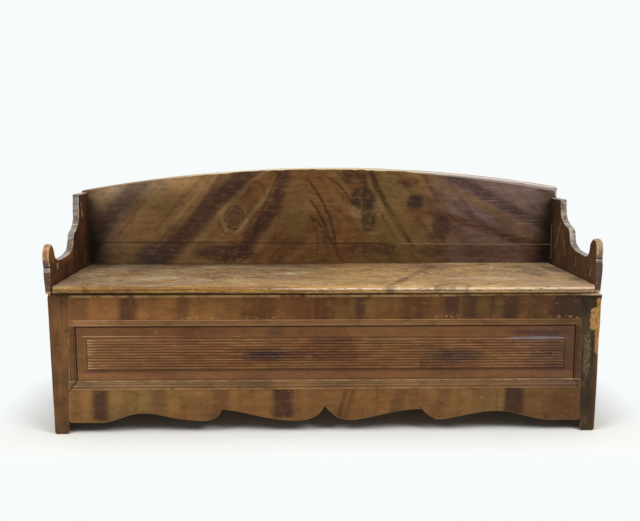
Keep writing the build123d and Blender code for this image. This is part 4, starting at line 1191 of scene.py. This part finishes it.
def skin(rings):
    """Faces between closed rings, (rings, points, 3), with one face over each end."""
    count, around = rings.shape[:2]
    index = np.arange(count * around).reshape(count, around)
    after = np.roll(index, -1, axis=1)
    quads = np.stack([index[:-1], after[:-1], after[1:], index[1:]], axis=-1).reshape(-1, 4)
    return quads.tolist() + [index[0].tolist(), index[-1].tolist()]


def worn_rings(outline, near, far, radius, share, seed, soften):
    """Rings of a board's rounded rim, from its near face to its far face, and their wear.

    A ring is the outline moved inwards by r * (1 - sin a) at depth r * (1 - cos a) from a
    face, for a from 0 to 90 degrees. share scales r at each point: nearly 0 at a joint.
    """
    path = smoothed(evenly(outline), soften)
    tangent = np.roll(path, -1, axis=0) - np.roll(path, 1, axis=0)
    length = np.linalg.norm(tangent, axis=1, keepdims=True)
    tangent /= length
    area = np.sum(path[:, 0] * np.roll(path[:, 1], -1) - path[:, 1] * np.roll(path[:, 0], -1))
    inward = np.stack([-tangent[:, 1], tangent[:, 0]], axis=1) * np.sign(area)
    change = np.roll(tangent, -1, axis=0) - np.roll(tangent, 1, axis=0)
    turn = np.sum(change * inward, axis=1) / length[:, 0]
    tight = MOST_OF_BEND / np.maximum(turn, 1.0)
    count = len(path)
    portion = share(path) * np.ones(count)
    reach = radius * portion
    for number, (amount, spread) in enumerate((LONG_WAVES, SHORT_WAVES)):
        reach = reach * (1 + amount * wander(count, seed + number, spread))
    reach = np.clip(reach, LEAST_ROUNDING, MOST_OF_THICKNESS * abs(far - near))
    lowest = np.min([np.roll(tight, k) for k in range(-6, 7)], axis=0)
    reach = np.minimum(reach, smoothed(lowest, 1.5))
    angles = np.linspace(0, math.pi / 2, ROUND_STEPS)
    toward = math.copysign(1.0, far - near)
    rings, edges = [], []
    for face, way, order in ((near, toward, angles), (far, -toward, angles[::-1])):
        for a in order:
            ring = path + inward * (reach * (1 - math.sin(a)))[:, None]
            depth = face + way * reach * (1 - math.cos(a))
            rings.append((ring, depth))
            edges.append(math.sin(2 * a) * np.clip(portion * 1.2 - 0.2, 0, 1))
    return rings, np.array(edges)


def worn_board(node, axis, face, radius, seed, share=lambda path: 1.0, inset=0.0, soften=1.2):
    """Board with worn edges in place of a CAD node, its outline read at one of its faces.

    The inset holds both faces back, so that flush pegs and nails stand proud of it. soften
    is how far its corners are rounded off, in steps of the outline.
    """
    low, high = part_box(node)
    near, far = low[axis], high[axis]
    outline = face_outline(node, axis, far if face > 0 else near)
    rings, edges = worn_rings(outline, near + inset, far - inset, radius, share, seed, soften)
    points = np.array([np.insert(ring, axis, depth, axis=1) for ring, depth in rings])
    rim = np.zeros(points.shape[:2])
    rim[1:-1] = 1.0
    piece = make_mesh(f"worn_{node}", points.reshape(-1, 3), skin(points), {"edge": edges, "rim": rim})
    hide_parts(node)
    return piece


def dress(piece, body, material):
    """Put a piece on its body and give it its finish."""
    piece.data.materials.clear()
    piece.data.materials.append(material)
    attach(piece, body)
    return piece


print("worn boards ready")

# %% [markdown]
# ## The ends
#
# Each end is one wide board with the arm cut in it: a knob for the hand at the front, a dip
# for the elbow, and a wing that steps up to the back. The knob is rubbed rounder than the
# rest. Below the arm the outer face was planed thinner, so the board is cut across at those
# heights and its outer points are moved in.

# %% End boards
# Heights, and how far the outer face is moved in there.
ARM_FOOT = FRONT_TOP + 0.003
TAPER = ((SEAT + 0.041, 0.0), (ARM_FOOT, 0.004), (0.0, 0.0085))


def knob_rub(path):
    """Rounding of the rim, 2.6 times as much on the knob: path is (y, z)."""
    y, z = path[:, 0], path[:, 1]
    knob = ramped(z, SEAT + 0.06, SEAT + 0.09) * ramped(y, -0.165, -0.195)
    return 1.0 + 1.6 * knob + 0.3 * ramped(z, SEAT + 0.02, SEAT + 0.05)


def taper_outside(piece, side):
    """Move the outer face in below the arm, straight between the heights in TAPER."""
    work = bmesh.new()
    work.from_mesh(piece.data)
    for height, _ in TAPER[:2]:
        everything = list(work.verts) + list(work.edges) + list(work.faces)
        bmesh.ops.bisect_plane(work, geom=everything, plane_co=(0, 0, height), plane_no=(0, 0, 1))
    work.to_mesh(piece.data)
    work.free()
    count = len(piece.data.vertices)
    points = np.zeros(count * 3)
    piece.data.vertices.foreach_get("co", points)
    points = points.reshape(-1, 3)
    heights, amounts = zip(*TAPER[::-1])
    outer = np.abs(points[:, 0]).max()
    inner = np.abs(points[:, 0]).min()
    share = (np.abs(points[:, 0]) - inner) / (outer - inner)
    points[:, 0] -= side * np.interp(points[:, 2], heights, amounts) * share
    piece.data.vertices.foreach_set("co", points.ravel())
    piece.data.update()


for side, name in ((-1, "left"), (1, "right")):
    end = worn_board(f"end_board_{name}", 0, -side, 0.0022, 10 + side, share=knob_rub)
    taper_outside(end, side)
    dress(end, "carcass", END_FINISH[side])
    print(end.name, len(end.data.vertices), "points")

# %% [markdown]
# ## The back
#
# Three wide boards are nailed to the ends. The upper one is arched, and its top edge has
# been worn round and bare. The joints have opened by the thickness of a knife blade.

# %% Back boards
def arch_rub(path):
    """Rounding along the arched top, most at the right, hardly any at the joints: path is (x, z)."""
    right = np.clip(path[:, 0] / 0.5, -0.4, 1)
    return 0.12 + (0.95 + 0.45 * right) * ramped(path[:, 1], SEAT + 0.24, SEAT + 0.26)


# How far flush pegs and nails stand proud of a worn face.
NAIL_PROUD = 0.0003
for number, part in enumerate(("lower", "middle", "upper")):
    board = worn_board(f"back_{part}_board", 1, 1, 0.0062, 20 + number, share=arch_rub,
                       inset=NAIL_PROUD, soften=2.2 if part == "upper" else 0.8)
    material = LONG_FINISH if part == "lower" else BACK_FINISH
    dress(board, "carcass", material)
    print(board.name, len(board.data.vertices), "points")

# %% [markdown]
# ## The frame of the front
#
# Stiles and rails are worn boards too. On the right stile a long strip of its outer corner
# has been knocked away, which shows the gold of bare pine, so the rounding grows there.

# %% Stiles and rails
def stile_rub(path):
    """Round outside, sharp at the joints, and knocked away high on the right: path is (x, z)."""
    x, z = path[:, 0], path[:, 1]
    outer = np.maximum(ramped(np.abs(x), 0.865, 0.877), ramped(z, 0.036, 0.028))
    knocked = ramped(z, 0.15, 0.25) * ramped(z, 0.455, 0.435) * ramped(x, 0.885, 0.895)
    return np.maximum(outer, 0.15) + 2.4 * knocked


def top_rail_rub(path):
    """Round along the top edge only: path is (x, z)."""
    x, z = path[:, 0], path[:, 1]
    return 0.15 + ramped(z, FRONT_TOP - 0.02, FRONT_TOP - 0.01) * (np.abs(x) < 0.825)


def apron_rub(path):
    """Round along the scalloped edge only: path is (x, z)."""
    x, z = path[:, 0], path[:, 1]
    return 0.15 + 0.85 * ramped(z, apron_high.z - 0.02, apron_high.z - 0.03) * (np.abs(x) < 0.835)


for side, name in ((-1, "left"), (1, "right")):
    post = worn_board(f"stile_{name}", 1, 1, 0.0020, 30 + side, share=stile_rub, inset=NAIL_PROUD)
    dress(post, "bed_front", STILE_FINISH)

for rail, radius, seed, share, material in (("top_rail", 0.0022, 40, top_rail_rub, TOP_RAIL_FINISH),
                                            ("apron_rail", 0.0016, 41, apron_rub, APRON_FINISH)):
    board = worn_board(rail, 1, 1, radius, seed, share=share, inset=NAIL_PROUD)
    dress(board, "bed_front", material)
    print(board.name, len(board.data.vertices), "points")

# %% [markdown]
# ## The lid
#
# The seat is two boards joined edge to edge. Its nose is rounded on top with a fine quirk
# under the rounding, and both are uneven from wear. The nose is a profile in the YZ plane
# carried along X; at the two front corners the profile draws back on a quarter circle.

# %% Lid boards
LID_STEP = 0.006
NOSE_RADIUS = 0.0095
QUIRK = 0.0014
TAIL_RADIUS = 0.006
CHAMFER = 0.0006
END_RADIUS = 0.005
END_RINGS = (0.0, 0.08, 0.25, 0.6, 1.0)
CORNER_RADIUS = 0.014
# Depth of the broad and of the short dents in the nose, and how far back they reach.
BROAD_DENT = 0.0014
SHORT_DENT = 0.0012
NOSE_DEPTH = 0.030


def quarter(centre_y, top, radius, way, count):
    """Quarter circle in YZ from its top to its side; way is -1 to the front, 1 to the back."""
    bend = np.linspace(0, math.pi / 2, count)
    return np.stack([centre_y + way * radius * np.sin(bend), top - radius * (1 - np.cos(bend))], 1)


def lid_profile(low, high, nose):
    """Closed (y, z) profile of a lid board, front first; nose says if its front is rounded."""
    if not nose:
        start = [(low.y, low.z), (low.y, high.z - CHAMFER), (low.y + CHAMFER, high.z)]
        tail = quarter(high.y - TAIL_RADIUS, high.z, TAIL_RADIUS, 1, 7)
        return np.vstack([start, tail, [(high.y, low.z)]])
    over = quarter(low.y + NOSE_RADIUS, high.z, NOSE_RADIUS, -1, 9)
    under = high.z - NOSE_RADIUS
    belly = [
        (low.y, under - QUIRK * 0.3),
        (low.y + QUIRK, under - QUIRK),
        (low.y + QUIRK * 0.5, under - QUIRK * 2),
        (low.y + QUIRK * 0.4, under - QUIRK * 2 - 0.004),
        (low.y + QUIRK, low.z + 0.006),
        (low.y + QUIRK * 2.5, low.z + 0.0015),
        (low.y + QUIRK * 4.5, low.z),
    ]
    tail = [(high.y, low.z), (high.y, high.z - CHAMFER), (high.y - CHAMFER, high.z)]
    return np.vstack([over, belly, tail])


def drawn_back(from_end, radius):
    """How far a quarter circle lies back at a distance from its end, 0 beyond its radius.

    radius - sqrt(radius ** 2 - (radius - from_end) ** 2)
    """
    left = np.clip(radius - from_end, 0, radius)
    return radius - np.sqrt(radius ** 2 - left ** 2)


def lid_board(node, nose, seed):
    """Profile carried along X, dented at random and drawn back at its corners."""
    low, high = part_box(node)
    profile = lid_profile(low, high, nose)
    ends = np.array(END_RINGS) * END_RADIUS
    corner = CORNER_RADIUS * (1 - np.cos(np.linspace(0, math.pi / 2, 6)))
    start = np.unique(np.concatenate([ends, corner]))
    middle = np.arange(low.x + CORNER_RADIUS * 1.5, high.x - CORNER_RADIUS * 1.5, LID_STEP)
    along = np.concatenate([low.x + start, middle, (high.x - start)[::-1]])
    from_end = np.minimum(along - low.x, high.x - along)
    count, around = len(along), len(profile)
    rings = np.zeros((count, around, 3))
    rings[:, :, 0] = along[:, None]
    rings[:, :, 1:] = profile[None]
    middle_z = (low.z + high.z) / 2
    pull = 1 - drawn_back(from_end, END_RADIUS)[:, None] / (high.z - low.z) * 2
    rings[:, :, 2] = middle_z + (rings[:, :, 2] - middle_z) * pull
    dents = wander(count * 4, seed, 6).reshape(4, count)
    broad, short = np.clip(dents[:2], 0, 1)
    rub = broad ** 2 * BROAD_DENT + short ** 3 * SHORT_DENT
    if nose:
        front = ramped(rings[:, :, 1], low.y + NOSE_DEPTH, low.y)
        rings[:, :, 1] += front * (drawn_back(from_end, CORNER_RADIUS) + rub)[:, None]
        top = ramped(rings[:, :, 2], middle_z, middle_z + 0.013)
        rings[:, :, 2] -= front * top * rub[:, None] * 0.8
    marks = dict.fromkeys(("edge", "rim"), np.zeros((count, around)))
    piece = make_mesh(f"worn_{node}", rings.reshape(-1, 3), skin(rings), marks)
    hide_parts(node)
    return dress(piece, "lid", SEAT_FINISH)


for node, nose, seed in (("lid_front_board", True, 51), ("lid_rear_board", False, 52)):
    print(lid_board(node, nose, seed).name)

# %% [markdown]
# ## Finishes on the pieces that stay
#
# Mouldings, slats, bearers, cleats, pins and nails keep their shapes. Each gets the finish
# of its material slot.

# %% Finish the remaining nodes
SLOT_FINISH = {
    "grained_front": MOULDING_FINISH, "grained_panel": PANEL_FINISH, "grained_back": BACK_FINISH,
    "painted_ends": END_FINISH[1], "worn_seat": SEAT_FINISH, "bare_pine": SLAT_FINISH,
    "wood_pins": PIN_FINISH, "iron": IRON_FINISH,
}
ALONG_THE_BENCH = ("front_bearer", "rear_bearer", "sliding_bearer",
                   "slat_stop_left", "slat_stop_middle", "slat_stop_right")
for part in frame["record"]["subparts"]:
    materials = nodes[part["node"]].data.materials
    materials.clear()
    materials.append(SLOT_FINISH[part["material_slot"]])
for node in ALONG_THE_BENCH:
    nodes[node].data.materials[0] = LONG_FINISH
nodes["frame_pegs"].data.materials[0] = STILE_FINISH
print("nodes finished:", len(nodes))

# %% [markdown]
# ## Floor, background and light
#
# The floor is a wide pale disc that keeps the bench's shadow and fades into the background
# with distance, so no horizon shows. The background is the world's own colour, seen only by
# the camera and by reflections; the light on the bench is separate: an even sky and large
# soft panels in front and above.

# %% Stage and light
FLOOR_COLOUR = (236, 237, 232)
WALL_COLOUR = (247, 251, 251)
FLOOR_RADIUS = 40.0
FLOOR_SIDES = 96


def make_floor():
    """Wide disc: pale and diffuse near the bench, the wall's colour far off.

    Far is how far a place lies outside the bench's own rectangle: the root of the squares of
    what x and y exceed it by.
    """
    finish = Finish("stage_floor", FLOOR_COLOUR)
    angle = np.linspace(0, 2 * math.pi, FLOOR_SIDES, endpoint=False)
    ring = FLOOR_RADIUS * np.stack([np.cos(angle), np.sin(angle), np.zeros(FLOOR_SIDES)], axis=1)
    mesh = bpy.data.meshes.new("floor")
    mesh.from_pydata(ring.tolist(), [], [list(range(FLOOR_SIDES))])
    mesh.materials.append(finish.material)
    beside = (abs(finish.x) - cad_box[1][0]).highest(0.0)
    before = (abs(finish.y) - cad_box[1][1]).highest(0.0)
    far = ((beside * beside + before * before) ** 0.5).step(-0.01, 0.3)
    glow = finish.add("ShaderNodeEmission", None, {"Color": WALL_COLOUR, "Strength": 1.0})
    finish.surface(0.9, 0.0, specular=0.0)
    body = Wire(finish, finish.shader.outputs[0])
    finish.show(far * finish.seen(), body, glow)
    put("floor", mesh)


def make_world(strength):
    """World that lights evenly but shows the wall's colour to the camera and in gloss."""
    world = bpy.data.worlds.new("studio")
    bpy.context.scene.world = world
    graph = Graph(world)
    sky = graph.tree.nodes["Background"]
    graph.feed(sky, {"Color": (255, 255, 255), "Strength": strength})
    wall = graph.add("ShaderNodeBackground", None, {"Color": WALL_COLOUR})
    graph.show(graph.seen(), Wire(graph, sky.outputs[0]), wall)


def make_panel_light(name, place, target, size, power):
    """Square light panel that faces a point."""
    data = bpy.data.lights.new(name, "AREA")
    data.shape = "RECTANGLE"
    data.size, data.size_y = size
    data.energy = power
    lamp = put(name, data)
    lamp.location = place
    lamp.rotation_euler = (Vector(target) - Vector(place)).to_track_quat("-Z", "Y").to_euler()


make_floor()
make_world(strength=0.26)
make_panel_light("left_panel", (-3.4, -3.4, 4.6), (0, 0, 0.4), size=(2.6, 2.2), power=162)
make_panel_light("right_panel", (3.4, -3.6, 4.4), (0, 0, 0.4), size=(2.6, 2.2), power=176)
make_panel_light("top_panel", (0, -0.3, 5), (0, 0, 0), size=(7, 5), power=150)
bpy.context.scene.view_settings.view_transform = "Standard"
